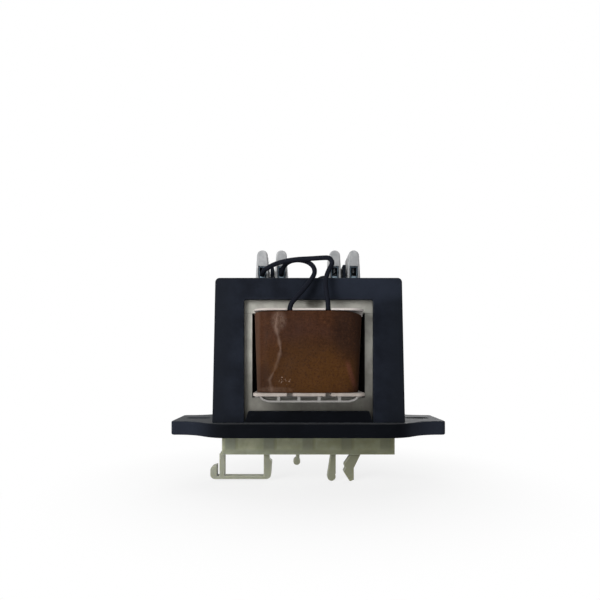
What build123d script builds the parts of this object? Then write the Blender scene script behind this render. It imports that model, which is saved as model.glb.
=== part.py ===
from build123d import *
import math
import os

# Open control transformer with a rail clip, every piece its own solid, in millimetres
# X runs along the ears, the front faces -Y, Z is up
# The origin is on the underside of the base, midway between the two ear slots

# Core of E and I sheets, all from the half width of the centre leg and the depth of the pile
HALF_LEG_WIDTH = 12.5
STACK_DEPTH = 38.0

# Base plate with two ears
BASE_LENGTH = 125.0
BASE_DEPTH = 52.5
BASE_THICK = 6.3
EAR_LENGTH = 9.5
EAR_DEPTH = 29.4
SHOULDER_RUN = 12.0
SHOULDER_ROUND = 16.0
ROUND_SHARE = 0.9
PLAN_CORNER = 2.0
BASE_EDGE = 0.7
POCKET_DEPTH = 1.5
SLOT_INSET = 10.1
SLOT_LENGTH = 11.5
SLOT_WIDTH = 5.3
LIP_RISE = 5.1
LIP_CORNER = 0.4
LIP_GAP = 0.2
LIP_LEAN = 1.7

# Cover frame over the core
CORE_FIT = 0.2
SIDE_WALL = 4.8
SIDE_LEAN = 1.35
FACE_WALL = 2.9
TOP_WALL = 2.7
COVER_CORNER = 2.0
COVER_EDGE = 0.6
WINDOW_WIDTH = 57.0
WINDOW_HEAD = 9.6
WINDOW_CORNER = 0.8

# Screws that hold the cover to the base, driven from below
COVER_SCREW_D = 2.9
COVER_SCREW_GRIP = 9.0
COVER_SCREW_HEAD_D = 5.2
COVER_SCREW_HEAD_H = 2.0
COVER_SCREW_SPREAD = 24.0
SCREW_FIT = 0.15
DRIVE_WIDTH = 0.8
DRIVE_DEPTH = 0.9

# Bobbin on the centre leg
TUBE_FIT = 0.2
TUBE_WALL = 1.3
TUBE_CORNER = 0.6
FLANGE_THICK = 1.3
FLANGE_SIDE_GAP = 1.15
FLANGE_REACH = 12.7
FLANGE_CORNER = 3.0
FLANGE_PAD = 1.25
FLANGE_TOP_GAP = 0.3
FLANGE_STEP = 1.85
HEAD_THICK = 0.8
HEAD_CORNER = 7.0
NOTCH_OFFSET = 8.2
NOTCH_WIDTH = 2.5
NOTCH_DEPTH = 4.4

# Cooling duct under the bobbin's lower flange, one at each end
DUCT_TOP_WIDTH = 42.6
DUCT_FOOT_WIDTH = 34.0
DUCT_DROP = 2.6
DUCT_BILGE_RUN = 1.2
DUCT_BILGE_RISE = 0.9
DUCT_WALL = 0.8
DUCT_ROUND = 2.5
DUCT_DEPTH = 6.0
DUCT_SETBACK = 0.6
DUCT_POST_WIDTH = 1.3
DUCT_POST_PITCH = 8.6
DUCT_POST_COUNT = 4

# Windings, from the tube outwards
PRIMARY_BUILD = 3.2
BARRIER_THICK = 0.5
WRAP_THICK = 0.6
COIL_TOP_INSET = 0.2
COIL_FOOT_INSET = 1.2
COIL_TOP_SETBACK = 0.7
COIL_FOOT_SETBACK = 2.0
COIL_BULGE = 2.2
COIL_CORNER = 7.0
WINDING_CORNER = 3.0

# Screw terminals on top of the cover, two pairs with a partition in each
TERMINAL_INNER = 12.35
TERMINAL_PITCH = 8.85
TERMINAL_WIDTH = 5.0
TERMINAL_FOOT_WIDTH = 6.4
TERMINAL_DEPTH = 19.0
TERMINAL_HEIGHT = 14.75
TERMINAL_EDGE = 0.7
TENON_INSET = 0.8
TENON_DEPTH = 1.2
PARTITION_WIDTH = 1.4
PARTITION_HEIGHT = 8.0
PARTITION_EDGE = 0.3
CHAMBER_DEPTH = 7.2
CHAMBER_FLOOR = 1.2
CAGE_WIDTH = 3.6
CAGE_HEIGHT = 6.0
CAGE_DEPTH = 6.0
CAGE_WALL = 0.6
CAGE_FIT = 0.1
CAGE_INSET = 0.5
BUSBAR_WIDTH = 2.1
BUSBAR_THICK = 0.9
BUSBAR_FIT = 0.1
CLAMP_SCREW_D = 2.0
CLAMP_HEAD_D = 3.2
CLAMP_HEAD_H = 2.2
CLAMP_SCREW_OUT = 1.6
DRIVER_FIT = 0.2

# Coil leads: insulated wire with a bare end in the clamp
LEAD_D = 2.1
LEAD_TIP_D = 1.2
LEAD_TIP_REACH = 5.0
LEAD_ARC_SHARE = 0.45

# Rail clip under the base
RAIL_WIDTH = 35.0
RAIL_PLAY = 0.8
NOSE_GRIP = 0.4
HOOK_GRIP = 0.5
CLIP_HEIGHT = 10.5
CLIP_PLATE = 1.4
CLIP_DEPTH = 11.0
CLIP_LEFT = 40.5
CLIP_RIGHT = 40.9
CLIP_END_WALL = 2.0
CLIP_SIDE_WALL = 1.2
CLIP_POST_WIDTH = 5.8
CLIP_POST_PITCH = 18.25
CLIP_SCREW_D = 3.5
CLIP_SCREW_BITE = 6.0
CLIP_SCREW_HEAD_D = 6.4
CLIP_SCREW_HEAD_H = 1.9
FOOT_WIDTH = 5.0
LOOP_DROP = 12.2
LOOP_OVERHANG = 1.6
PLATE_OVERHANG = 0.6
LOOP_BAR = 2.4
LOOP_FLOOR = 1.55
LOOP_RISER = 2.7
NOSE_DROP = 2.6
NOSE_SLOPE = 1.1
NOSE_TAPER = 0.6
NOSE_ROUND = 2.2
TAB_REACH = 4.4
TAB_WIDTH = 3.15
TAB_RISE = 6.9
TAB_ROUND = 2.2
STUD_X = -5.25
STUD_D = 3.3
STUD_DROP = 5.45
STUD_NECK = 1.7
STUD_NECK_SHIFT = 0.45
HOOK_DROP = 13.0
INNER_HOOK_X = 13.3
INNER_HOOK_NECK = 2.25
INNER_HOOK_BULB = 4.0
INNER_HOOK_NOTCH = 0.7
BULGE_DROP = 5.5
BULGE_RUN = 3.8
BULGE_ROUND = 1.8
BARB_DROP = 8.6
BARB_NOTCH = 0.8
BARB_RISE = 1.8
OUTER_HOOK_BACK = 4.95
OUTER_HOOK_EXTRA = 0.3
GUSSET_RUN = 3.4
GUSSET_DROP = 6.9
TIP_SETBACK = 3.0
TIP_ROUND = 0.7

# Places worked out from the sizes above
ends = (-1, 1)
core_half_width = 3 * HALF_LEG_WIDTH
core_half_depth = STACK_DEPTH / 2
core_bottom = BASE_THICK - POCKET_DEPTH
window_floor = core_bottom + HALF_LEG_WIDTH
window_roof = window_floor + 3 * HALF_LEG_WIDTH
core_top = window_roof + HALF_LEG_WIDTH
cavity_half_width = core_half_width + CORE_FIT
cavity_half_depth = core_half_depth + CORE_FIT
cavity_top = core_top + CORE_FIT
cover_half_width = cavity_half_width + SIDE_WALL
cover_half_depth = cavity_half_depth + FACE_WALL
cover_top = cavity_top + TOP_WALL
cover_window_top = cover_top - WINDOW_HEAD
cover_screw_x = cavity_half_width + SIDE_WALL / 2
cover_screw_y = COVER_SCREW_SPREAD / 2
tube_inner_x = HALF_LEG_WIDTH + TUBE_FIT
tube_inner_y = core_half_depth + TUBE_FIT
tube_outer_x = tube_inner_x + TUBE_WALL
tube_outer_y = tube_inner_y + TUBE_WALL
flange_half_width = 2 * HALF_LEG_WIDTH - FLANGE_SIDE_GAP
flange_front = core_half_depth + FLANGE_REACH
lower_flange_bottom = window_floor + FLANGE_PAD
lower_flange_top = lower_flange_bottom + FLANGE_THICK
upper_flange_top = window_roof - FLANGE_TOP_GAP
upper_flange_bottom = upper_flange_top - FLANGE_THICK
head_top = upper_flange_bottom + FLANGE_STEP
chamber_width = CAGE_WIDTH + 2 * CAGE_FIT
chamber_bottom = cover_top + CHAMBER_FLOOR
chamber_height = CAGE_HEIGHT + 2 * CAGE_FIT
cage_bottom = chamber_bottom + CAGE_FIT
cage_top = cage_bottom + CAGE_HEIGHT
cage_y = TERMINAL_DEPTH / 2 - CAGE_INSET - CAGE_DEPTH / 2
busbar_bottom = cage_bottom + CAGE_WALL
busbar_top = busbar_bottom + BUSBAR_THICK
lead_tip_z = busbar_top + LEAD_TIP_D / 2
clamp_screw_bottom = busbar_top + LEAD_TIP_D
terminal_x = [
    -TERMINAL_INNER - TERMINAL_PITCH,
    -TERMINAL_INNER,
    TERMINAL_INNER,
    TERMINAL_INNER + TERMINAL_PITCH,
]
clip_bottom = -CLIP_HEIGHT
clip_floor = clip_bottom + CLIP_PLATE
rail_half = RAIL_WIDTH / 2

# Lead routes, from the coil's notch to the face of its terminal
lead_start_y = flange_front - NOTCH_DEPTH + LEAD_D / 2 + SCREW_FIT
terminal_face = TERMINAL_DEPTH / 2
lead_routes = {
    "lead_primary_inner": [
        (-NOTCH_OFFSET, -lead_start_y, head_top),
        (-NOTCH_OFFSET, -lead_start_y, 57.3),
        (-6.0, -28.0, 60.2),
        (-2.6, -27.0, 64.0),
        (0.5, -26.0, 68.0),
        (2.7, -24.4, 71.6),
        (2.4, -22.2, 74.8),
        (0.2, -19.6, 77.4),
        (-3.4, -17.4, 78.9),
        (-7.2, -15.8, 79.0),
        (-10.2, -14.6, 77.8),
        (-12.0, -13.4, 75.2),
        (terminal_x[1], -11.7, lead_tip_z),
        (terminal_x[1], -terminal_face, lead_tip_z),
    ],
    "lead_primary_outer": [
        (NOTCH_OFFSET, -lead_start_y, head_top),
        (NOTCH_OFFSET, -lead_start_y, 58.6),
        (7.6, -27.6, 62.6),
        (7.2, -26.6, 66.8),
        (7.6, -25.6, 70.4),
        (9.0, -24.8, 73.8),
        (10.5, -24.2, 76.2),
        (9.2, -23.7, 78.7),
        (5.8, -23.2, 78.7),
        (0.6, -22.4, 78.5),
        (-4.8, -21.2, 78.5),
        (-10.2, -19.4, 78.1),
        (-15.4, -17.2, 77.0),
        (-19.4, -14.8, 75.3),
        (terminal_x[0], -12.4, lead_tip_z),
        (terminal_x[0], -terminal_face, lead_tip_z),
    ],
    "lead_secondary_inner": [
        (NOTCH_OFFSET, lead_start_y, head_top),
        (NOTCH_OFFSET, lead_start_y, 59.2),
        (7.6, 27.8, 64.2),
        (6.2, 25.8, 69.4),
        (5.0, 21.8, 73.8),
        (6.2, 17.8, 76.0),
        (9.2, 15.2, 76.2),
        (11.6, 13.6, 74.8),
        (terminal_x[2], 12.2, lead_tip_z),
        (terminal_x[2], terminal_face, lead_tip_z),
    ],
    "lead_secondary_outer": [
        (-NOTCH_OFFSET, lead_start_y, head_top),
        (-NOTCH_OFFSET, lead_start_y, 58.6),
        (-5.6, 28.8, 62.8),
        (-0.8, 29.2, 66.6),
        (5.0, 29.4, 69.4),
        (11.2, 28.4, 71.8),
        (16.6, 25.2, 73.6),
        (19.8, 20.6, 74.6),
        (20.9, 16.2, 74.2),
        (terminal_x[3], 12.8, lead_tip_z),
        (terminal_x[3], terminal_face, lead_tip_z),
    ],
}


def block(x, y, z):
    """A box between pairs of limits."""
    limits = (x, y, z)
    size = [high - low for low, high in limits]
    centre = [(high + low) / 2 for low, high in limits]
    return Pos(*centre) * Box(*size)


def span(half):
    """The pair of limits either side of zero."""
    return (-half, half)


def front_plate(face, depth):
    """A plate across Y from a flat face of X and Z."""
    return extrude(Plane.XZ * face, depth / 2, both=True)


def front_profile(points, depth):
    """A plate across Y, cut to an outline of X and Z."""
    return front_plate(Polygon(*points, align=None), depth)


def rounded_post(half_x, half_y, corner, bottom, top):
    """An upright block with rounded corners."""
    plan = RectangleRounded(2 * half_x, 2 * half_y, corner)
    return Pos(0, 0, bottom) * extrude(plan, top - bottom)


def upright_rod(x, y, diameter, bottom, top):
    """A round rod along Z."""
    rod = Cylinder(diameter / 2, top - bottom)
    return Pos(x, y, (bottom + top) / 2) * rod


def make_base():
    """Base plate with ears, slots, core pocket and the two lips."""
    half_length = BASE_LENGTH / 2
    half_depth = BASE_DEPTH / 2
    half_ear = EAR_DEPTH / 2
    ear_root = half_length - EAR_LENGTH
    body_end = ear_root - SHOULDER_RUN
    quarter = [(half_length, half_ear), (ear_root, half_ear), (body_end, half_depth)]
    right = [(x, -y) for x, y in reversed(quarter)] + quarter
    left = [(-x, -y) for x, y in right]
    step = half_depth - half_ear
    half_turn = math.atan2(step, SHOULDER_RUN) / 2
    room = min(EAR_LENGTH - PLAN_CORNER, math.hypot(SHOULDER_RUN, step) / 2)
    sweep_radius = min(SHOULDER_ROUND, ROUND_SHARE * room / math.tan(half_turn))
    plan = Polygon(*right, *left, align=None)
    plan = fillet(plan.vertices().sort_by(Axis.X)[2:-2], sweep_radius)
    along = plan.vertices().sort_by(Axis.X)
    plan = fillet(along[:2] + along[-2:], PLAN_CORNER)
    plate = extrude(plan, BASE_THICK)
    rims = plate.edges().group_by(Axis.Z)[0] + plate.edges().group_by(Axis.Z)[-1]
    plate = fillet(rims, BASE_EDGE)
    plate -= block(span(cavity_half_width), span(cavity_half_depth), (core_bottom, BASE_THICK))
    slot = extrude(SlotOverall(SLOT_LENGTH, SLOT_WIDTH), BASE_THICK)
    for side in ends:
        plate -= Pos(side * (half_length - SLOT_INSET), 0, 0) * slot
    lip_half = WINDOW_WIDTH / 2 - LIP_GAP
    lip_top = BASE_THICK + LIP_RISE
    lip_right = [(lip_half, core_bottom), (lip_half, BASE_THICK), (lip_half - LIP_LEAN, lip_top)]
    lip_left = [(-x, z) for x, z in reversed(lip_right)]
    for side in ends:
        near = side * cavity_half_depth
        far = side * cover_half_depth
        wall = front_profile([*lip_right, *lip_left], abs(far - near))
        lip = Pos(0, (near + far) / 2, 0) * wall
        corners = lip.edges().filter_by(Axis.Y).group_by(Axis.Z)[-1]
        plate += fillet(corners, LIP_CORNER)
    for x in ends:
        for y in ends:
            at = (x * cover_screw_x, y * cover_screw_y)
            plate -= upright_rod(*at, COVER_SCREW_D + 2 * SCREW_FIT, 0, BASE_THICK)
            plate -= upright_rod(*at, COVER_SCREW_HEAD_D + 2 * SCREW_FIT, 0, COVER_SCREW_HEAD_H + SCREW_FIT)
    for x in ends:
        plate -= countersunk(x * CLIP_POST_PITCH, core_bottom, 0, SCREW_FIT)
    return plate


def countersunk(x, top, bottom, room):
    """A countersunk screw's outline, or the hole for it with some room round it."""
    shank = upright_rod(x, 0, CLIP_SCREW_D + 2 * room, bottom, top)
    head_radius = CLIP_SCREW_HEAD_D / 2 + room
    head = Cone(CLIP_SCREW_D / 2 + room, head_radius, CLIP_SCREW_HEAD_H)
    return shank + Pos(x, 0, top - CLIP_SCREW_HEAD_H / 2) * head


def make_cover():
    """Cover frame with a window at each end, and the partitions between the terminals."""
    lean = SIDE_LEAN
    outline = [
        (-cover_half_width, BASE_THICK),
        (cover_half_width, BASE_THICK),
        (cover_half_width - lean, cover_top),
        (-cover_half_width + lean, cover_top),
    ]
    frame = front_profile(outline, 2 * cover_half_depth)
    frame = fillet(frame.edges().filter_by(Axis.Y).group_by(Axis.Z)[-1], COVER_CORNER)
    faces = frame.faces().filter_by(Axis.Y)
    rims = [edge for face in faces for edge in face.edges() if edge.center().Z > BASE_THICK + BASE_EDGE]
    frame = fillet(rims, COVER_EDGE)
    frame -= block(span(cavity_half_width), span(cavity_half_depth), (BASE_THICK, cavity_top))
    opening = block(span(WINDOW_WIDTH / 2), span(cover_half_depth), (BASE_THICK, cover_window_top))
    frame -= fillet(opening.edges().filter_by(Axis.Y).group_by(Axis.Z)[-1], WINDOW_CORNER)
    half_wall = PARTITION_WIDTH / 2
    middle = TERMINAL_INNER + TERMINAL_PITCH / 2
    for side in ends:
        limits = (side * middle - half_wall, side * middle + half_wall)
        wall = block(limits, span(TERMINAL_DEPTH / 2), (cover_top, cover_top + PARTITION_HEIGHT))
        frame += fillet(wall.edges().group_by(Axis.Z)[-1], PARTITION_EDGE)
    for x in terminal_x:
        frame -= terminal_tenon(x)
    for x in ends:
        for y in ends:
            at = (x * cover_screw_x, y * cover_screw_y)
            frame -= upright_rod(*at, COVER_SCREW_D, BASE_THICK, BASE_THICK + COVER_SCREW_GRIP)
    return frame


def make_cover_screws():
    """Four pan-head screws, up through the base into the cover's side walls."""
    screws = []
    seat = COVER_SCREW_HEAD_H + SCREW_FIT
    for x in ends:
        for y in ends:
            at = (x * cover_screw_x, y * cover_screw_y)
            screw = upright_rod(*at, COVER_SCREW_D, seat, BASE_THICK + COVER_SCREW_GRIP)
            screw += upright_rod(*at, COVER_SCREW_HEAD_D, SCREW_FIT, seat)
            for turned in (False, True):
                arm = (COVER_SCREW_D, DRIVE_WIDTH)
                long, short = reversed(arm) if turned else arm
                slot = Box(long, short, 2 * DRIVE_DEPTH)
                screw -= Pos(*at, SCREW_FIT) * slot
            screws.append(screw)
    return Compound(screws)


def make_clip_screws():
    """Two countersunk screws, down through the base into the clip's posts."""
    screws = []
    for side in ends:
        x = side * CLIP_POST_PITCH
        screw = countersunk(x, core_bottom, -CLIP_SCREW_BITE, 0)
        for long, short in ((CLIP_SCREW_D, DRIVE_WIDTH), (DRIVE_WIDTH, CLIP_SCREW_D)):
            screw -= Pos(x, 0, core_bottom) * Box(long, short, 2 * DRIVE_DEPTH)
        screws.append(screw)
    return Compound(screws)


def make_e_core():
    """E stack: the lower yoke with three legs."""
    stack = block(span(core_half_width), span(core_half_depth), (core_bottom, window_roof))
    for side in ends:
        near = side * HALF_LEG_WIDTH
        far = side * 2 * HALF_LEG_WIDTH
        stack -= block((min(near, far), max(near, far)), span(core_half_depth), (window_floor, window_roof))
    return stack


def make_i_core():
    """I stack: the upper yoke that closes the legs."""
    return block(span(core_half_width), span(core_half_depth), (window_roof, core_top))


def make_bobbin():
    """Tube, stepped flanges with lead notches, and the duct under each end."""
    leg = block(span(tube_inner_x), span(tube_inner_y), (window_floor, head_top + HEAD_THICK))
    tube = rounded_post(tube_outer_x, tube_outer_y, TUBE_CORNER, window_floor, upper_flange_top)
    flange = (flange_half_width, flange_front, FLANGE_CORNER)
    lower = rounded_post(*flange, lower_flange_bottom, lower_flange_top)
    pads = block(span(flange_half_width), span(core_half_depth), (window_floor, lower_flange_bottom))
    upper = rounded_post(*flange, upper_flange_bottom, upper_flange_top)
    shelf_limits = (upper_flange_bottom, head_top + HEAD_THICK)
    shelf = rounded_post(flange_half_width, flange_front, HEAD_CORNER, *shelf_limits)
    shelf -= block(span(flange_half_width), span(tube_inner_y), shelf_limits)
    for side in ends:
        near = side * tube_outer_y
        far = side * flange_front
        under = (min(near, far), max(near, far))
        shelf -= block(span(flange_half_width), under, (upper_flange_bottom, head_top))
        upper -= block(span(flange_half_width), under, (upper_flange_bottom, upper_flange_top))
    bobbin = tube + lower + pads + upper + shelf - leg
    notch_root = flange_front - NOTCH_DEPTH
    for x in ends:
        for y in ends:
            across = (x * NOTCH_OFFSET - NOTCH_WIDTH / 2, x * NOTCH_OFFSET + NOTCH_WIDTH / 2)
            along = (min(y * notch_root, y * flange_front), max(y * notch_root, y * flange_front))
            bobbin -= block(across, along, (head_top, head_top + HEAD_THICK))
            bobbin -= block(across, along, (lower_flange_bottom, lower_flange_top))
    for side in ends:
        bobbin += make_duct(side)
    return bobbin


def duct_face(foot, top):
    """Boat-shaped front outline of a duct."""
    half_top = DUCT_TOP_WIDTH / 2
    half_foot = DUCT_FOOT_WIDTH / 2
    bilge = (half_top - DUCT_BILGE_RUN, foot + DUCT_BILGE_RISE)
    right = [(half_foot, foot), bilge, (half_top, top)]
    left = [(-x, z) for x, z in reversed(right)]
    slope = math.atan2(DUCT_BILGE_RISE, bilge[0] - half_foot)
    steep = math.atan2(top - bilge[1], DUCT_BILGE_RUN)
    turns = math.tan(slope / 2) + math.tan(abs(steep - slope) / 2)
    side = math.hypot(bilge[0] - half_foot, DUCT_BILGE_RISE)
    face = Polygon(*left, *right, align=None)
    return fillet(face.vertices().sort_by(Axis.Y)[:4], min(DUCT_ROUND, ROUND_SHARE * side / turns))


def make_duct(side):
    """Boat-shaped duct of thin walls and posts under one end of the lower flange."""
    foot = lower_flange_bottom - DUCT_DROP
    hollow = offset(duct_face(foot, lower_flange_bottom + DUCT_WALL), -DUCT_WALL)
    duct = front_plate(duct_face(foot, lower_flange_bottom), DUCT_DEPTH) - front_plate(hollow, DUCT_DEPTH)
    for index in range(DUCT_POST_COUNT):
        x = (index - (DUCT_POST_COUNT - 1) / 2) * DUCT_POST_PITCH
        width = (x - DUCT_POST_WIDTH / 2, x + DUCT_POST_WIDTH / 2)
        duct += block(width, span(DUCT_DEPTH / 2), (foot, lower_flange_bottom))
    return Pos(0, side * (flange_front - DUCT_SETBACK - DUCT_DEPTH / 2), 0) * duct


def winding_post(build):
    """Outline of the winding after some build over the tube, as an upright block."""
    size = (tube_outer_x + build, tube_outer_y + build)
    return rounded_post(*size, WINDING_CORNER, lower_flange_top, upper_flange_bottom)


def make_primary():
    """Primary winding, straight on the tube."""
    tube = rounded_post(tube_outer_x, tube_outer_y, TUBE_CORNER, lower_flange_top, upper_flange_bottom)
    return winding_post(PRIMARY_BUILD) - tube


def make_barrier():
    """Insulation between the windings."""
    return winding_post(PRIMARY_BUILD + BARRIER_THICK) - winding_post(PRIMARY_BUILD)


def coil_plan(half_width, half_depth, corner):
    """Plan of the finished coil: flat sides in the core's windows and bulged ends."""
    shoulder = half_depth - COIL_BULGE
    front = ThreePointArc((-half_width, -shoulder), (0, -half_depth), (half_width, -shoulder))
    right = Line((half_width, -shoulder), (half_width, shoulder))
    rear = ThreePointArc((half_width, shoulder), (0, half_depth), (-half_width, shoulder))
    left = Line((-half_width, shoulder), (-half_width, -shoulder))
    plan = make_face([front, right, rear, left])
    return fillet(plan.vertices(), corner)


def coil_body(inset):
    """The finished coil, wider at the top, with raised ends that fill the stepped flange."""
    foot = coil_plan(
        flange_half_width - COIL_FOOT_INSET - inset,
        flange_front - COIL_FOOT_SETBACK - inset,
        COIL_CORNER - inset,
    )
    top = coil_plan(
        flange_half_width - COIL_TOP_INSET - inset,
        flange_front - COIL_TOP_SETBACK - inset,
        COIL_CORNER - inset,
    )
    body = loft([Pos(0, 0, lower_flange_top) * foot, Pos(0, 0, head_top) * top], ruled=True)
    return body - block(span(flange_half_width), span(tube_outer_y), (upper_flange_bottom, head_top))


def make_secondary():
    """Secondary winding, between the insulation and the wrap."""
    return coil_body(WRAP_THICK) - winding_post(PRIMARY_BUILD + BARRIER_THICK)


def make_wrap():
    """Varnished paper wrap round the finished coil."""
    return coil_body(0) - coil_body(WRAP_THICK)


def terminal_tenon(x):
    """Foot of a terminal housing, let into the cover."""
    half_width = TERMINAL_WIDTH / 2 - TENON_INSET
    half_depth = TERMINAL_DEPTH / 2 - TENON_INSET
    return block((x - half_width, x + half_width), span(half_depth), (cover_top - TENON_DEPTH, cover_top))


def make_terminal_housing(x):
    """Domed terminal housing with a wire chamber at each end and driver holes from above."""
    half = TERMINAL_WIDTH / 2
    spring = TERMINAL_HEIGHT - half
    foot = TERMINAL_FOOT_WIDTH / 2
    sides = Polygon((-foot, 0), (foot, 0), (half, spring), (-half, spring), align=None)
    arch = sides + Pos(0, spring) * Circle(half)
    body = extrude(Plane.XZ * arch, TERMINAL_DEPTH / 2, both=True)
    end_faces = body.faces().sort_by(Axis.Y)
    end_edges = end_faces[0].edges() + end_faces[-1].edges()
    rims = [edge for edge in end_edges if edge.center().Z > spring]
    body = Pos(x, 0, cover_top) * fillet(rims, TERMINAL_EDGE) + terminal_tenon(x)
    across = (x - chamber_width / 2, x + chamber_width / 2)
    height = (chamber_bottom, chamber_bottom + chamber_height)
    driver_d = CLAMP_HEAD_D + 2 * DRIVER_FIT
    for side in ends:
        mouth = side * terminal_face
        root = side * (terminal_face - CHAMBER_DEPTH)
        body -= block(across, (min(mouth, root), max(mouth, root)), height)
        body -= upright_rod(x, side * cage_y, driver_d, cage_top, cover_top + TERMINAL_HEIGHT)
    room = BUSBAR_FIT
    bar = (x - BUSBAR_WIDTH / 2 - room, x + BUSBAR_WIDTH / 2 + room)
    body -= block(bar, span(terminal_face - CHAMBER_DEPTH), (busbar_bottom, busbar_top + room))
    return body


def make_terminal_cages(x):
    """Two wire cages, one in each chamber."""
    cages = []
    for side in ends:
        cage = Box(CAGE_WIDTH, CAGE_DEPTH, CAGE_HEIGHT)
        cage -= Box(CAGE_WIDTH - 2 * CAGE_WALL, CAGE_DEPTH, CAGE_HEIGHT - 2 * CAGE_WALL)
        cage -= Pos(0, 0, CAGE_HEIGHT / 2) * Cylinder(CLAMP_SCREW_D / 2, 2 * CAGE_WALL)
        cages.append(Pos(x, side * cage_y, cage_bottom + CAGE_HEIGHT / 2) * cage)
    return Compound(cages)


def make_terminal_busbar(x):
    """Bar that joins the two cages of one terminal."""
    half_width = BUSBAR_WIDTH / 2
    reach = cage_y + CAGE_DEPTH / 2
    return block((x - half_width, x + half_width), span(reach), (busbar_bottom, busbar_top))


def make_terminal_screws():
    """Slotted clamp screws, one through the top of each cage, down to the wire."""
    screws = []
    head_bottom = cage_top + CLAMP_SCREW_OUT
    head_top_z = head_bottom + CLAMP_HEAD_H
    for x in terminal_x:
        for side in ends:
            y = side * cage_y
            screw = upright_rod(x, y, CLAMP_SCREW_D, clamp_screw_bottom, head_bottom)
            screw += upright_rod(x, y, CLAMP_HEAD_D, head_bottom, head_top_z)
            screw -= Pos(x, y, head_top_z) * Box(DRIVE_WIDTH, CLAMP_HEAD_D, 2 * DRIVE_DEPTH)
            screws.append(screw)
    return Compound(screws)


def make_lead(name):
    """Insulation of one lead: a tube of straight runs and the largest arcs that they allow."""
    points = [Vector(*point) for point in lead_routes[name]]
    runs = [after - before for before, after in zip(points, points[1:])]
    radii = []
    for before, after in zip(runs, runs[1:]):
        half_turn = math.radians(before.get_angle(after)) / 2
        radii.append(LEAD_ARC_SHARE * min(before.length, after.length) / math.tan(half_turn))
    path = FilletPolyline(*points, radius=radii)
    section = Plane(origin=path @ 0, z_dir=path % 0) * Circle(LEAD_D / 2)
    print(name, "radii", [round(radius, 1) for radius in radii], "length", round(path.length, 1))
    return sweep(section, path=path)


def make_lead_tips():
    """Bare ends of the four leads, lying on the busbars in their cages."""
    tips = []
    for name, route in lead_routes.items():
        x, y, z = route[-1]
        inward = -math.copysign(1, y)
        tip = Cylinder(LEAD_TIP_D / 2, LEAD_TIP_REACH, rotation=(90, 0, 0))
        tips.append(Pos(x, y + inward * LEAD_TIP_REACH / 2, z) * tip)
    return Compound(tips)


def make_clip():
    """Rail clip: hollow body under the base, spring loop with its nose and tab, stud and two hooks."""
    half_depth = CLIP_DEPTH / 2
    core = half_depth - CLIP_SIDE_WALL
    clip = block((-CLIP_LEFT, CLIP_RIGHT), span(half_depth), (clip_bottom, 0))
    hollow = (CLIP_END_WALL - CLIP_LEFT, CLIP_RIGHT - CLIP_END_WALL)
    clip -= block(hollow, span(core), (clip_floor, 0))
    clip += block((-CLIP_LEFT - PLATE_OVERHANG, -CLIP_LEFT), span(half_depth), (clip_bottom, clip_floor))
    for index in (-2, -1, 0, 1, 2):
        x = index * CLIP_POST_PITCH
        width = (x - CLIP_POST_WIDTH / 2, x + CLIP_POST_WIDTH / 2)
        clip += block(width, span(core), (clip_floor, 0))
    for side in ends:
        clip -= upright_rod(side * CLIP_POST_PITCH, 0, CLIP_SCREW_D, -CLIP_SCREW_BITE, 0)
    return clip + make_loop() + make_stud() + make_inner_hook() + make_outer_hook()


def make_loop():
    """Spring loop: two uprights on a floor bar, the nose that takes the rail and the release tab."""
    left = -CLIP_LEFT - LOOP_OVERHANG
    floor = clip_bottom - LOOP_DROP
    floor_top = floor + LOOP_FLOOR
    neck = -rail_half - RAIL_PLAY
    tip = -rail_half + NOSE_GRIP
    nose_top = clip_bottom - NOSE_DROP
    riser_left = neck - LOOP_RISER
    loop = block((left, left + LOOP_BAR), span(FOOT_WIDTH / 2), (floor, clip_bottom))
    loop += block((left, riser_left), span(FOOT_WIDTH / 2), (floor, floor_top))
    riser = [
        (riser_left, clip_bottom),
        (riser_left, floor),
        (tip - NOSE_TAPER, floor),
        (tip, nose_top - NOSE_SLOPE),
        (neck, nose_top),
        (neck, clip_bottom),
    ]
    nose = front_profile(riser, FOOT_WIDTH)
    foot = nose.edges().filter_by(Axis.Y).group_by(Axis.Z)[0].sort_by(Axis.X)[-1]
    loop += fillet(foot, NOSE_ROUND)
    tab_left = left - TAB_REACH
    tab_right = tab_left + TAB_WIDTH
    tab_top = floor + TAB_RISE
    tab = [
        (left, floor),
        (tab_left, floor),
        (tab_left, tab_top - TAB_ROUND / 2),
        (tab_right, tab_top),
        (tab_right, floor_top),
        (left, floor_top),
    ]
    plate = front_profile(tab, FOOT_WIDTH)
    outer = plate.edges().filter_by(Axis.Y).group_by(Axis.X)[0]
    return loop + fillet(outer, TAB_ROUND)


def make_stud():
    """Stud with a round end on a thin neck, which stands in the rail's channel."""
    radius = STUD_D / 2
    centre = clip_bottom - STUD_DROP + radius
    neck = (STUD_X + STUD_NECK_SHIFT - STUD_NECK / 2, STUD_X + STUD_NECK_SHIFT + STUD_NECK / 2)
    stem = block(neck, span(FOOT_WIDTH / 2), (centre, clip_bottom))
    end = Cylinder(radius, FOOT_WIDTH, rotation=(90, 0, 0))
    return stem + Pos(STUD_X, 0, centre) * end


def make_inner_hook():
    """Finger inside the rail's channel, with a bulb at its end and a small notch."""
    bulb = INNER_HOOK_BULB / 2
    right = INNER_HOOK_X
    left = right - INNER_HOOK_BULB
    centre = clip_bottom - HOOK_DROP + bulb
    outline = [
        (right - INNER_HOOK_NECK, clip_bottom),
        (left, centre),
        (right, centre),
        (right - INNER_HOOK_NOTCH, centre + INNER_HOOK_NOTCH),
        (right, centre + 2 * INNER_HOOK_NOTCH),
        (right, clip_bottom),
    ]
    end = Cylinder(bulb, FOOT_WIDTH, rotation=(90, 0, 0))
    return front_profile(outline, FOOT_WIDTH) + Pos(right - bulb, 0, centre) * end


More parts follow.
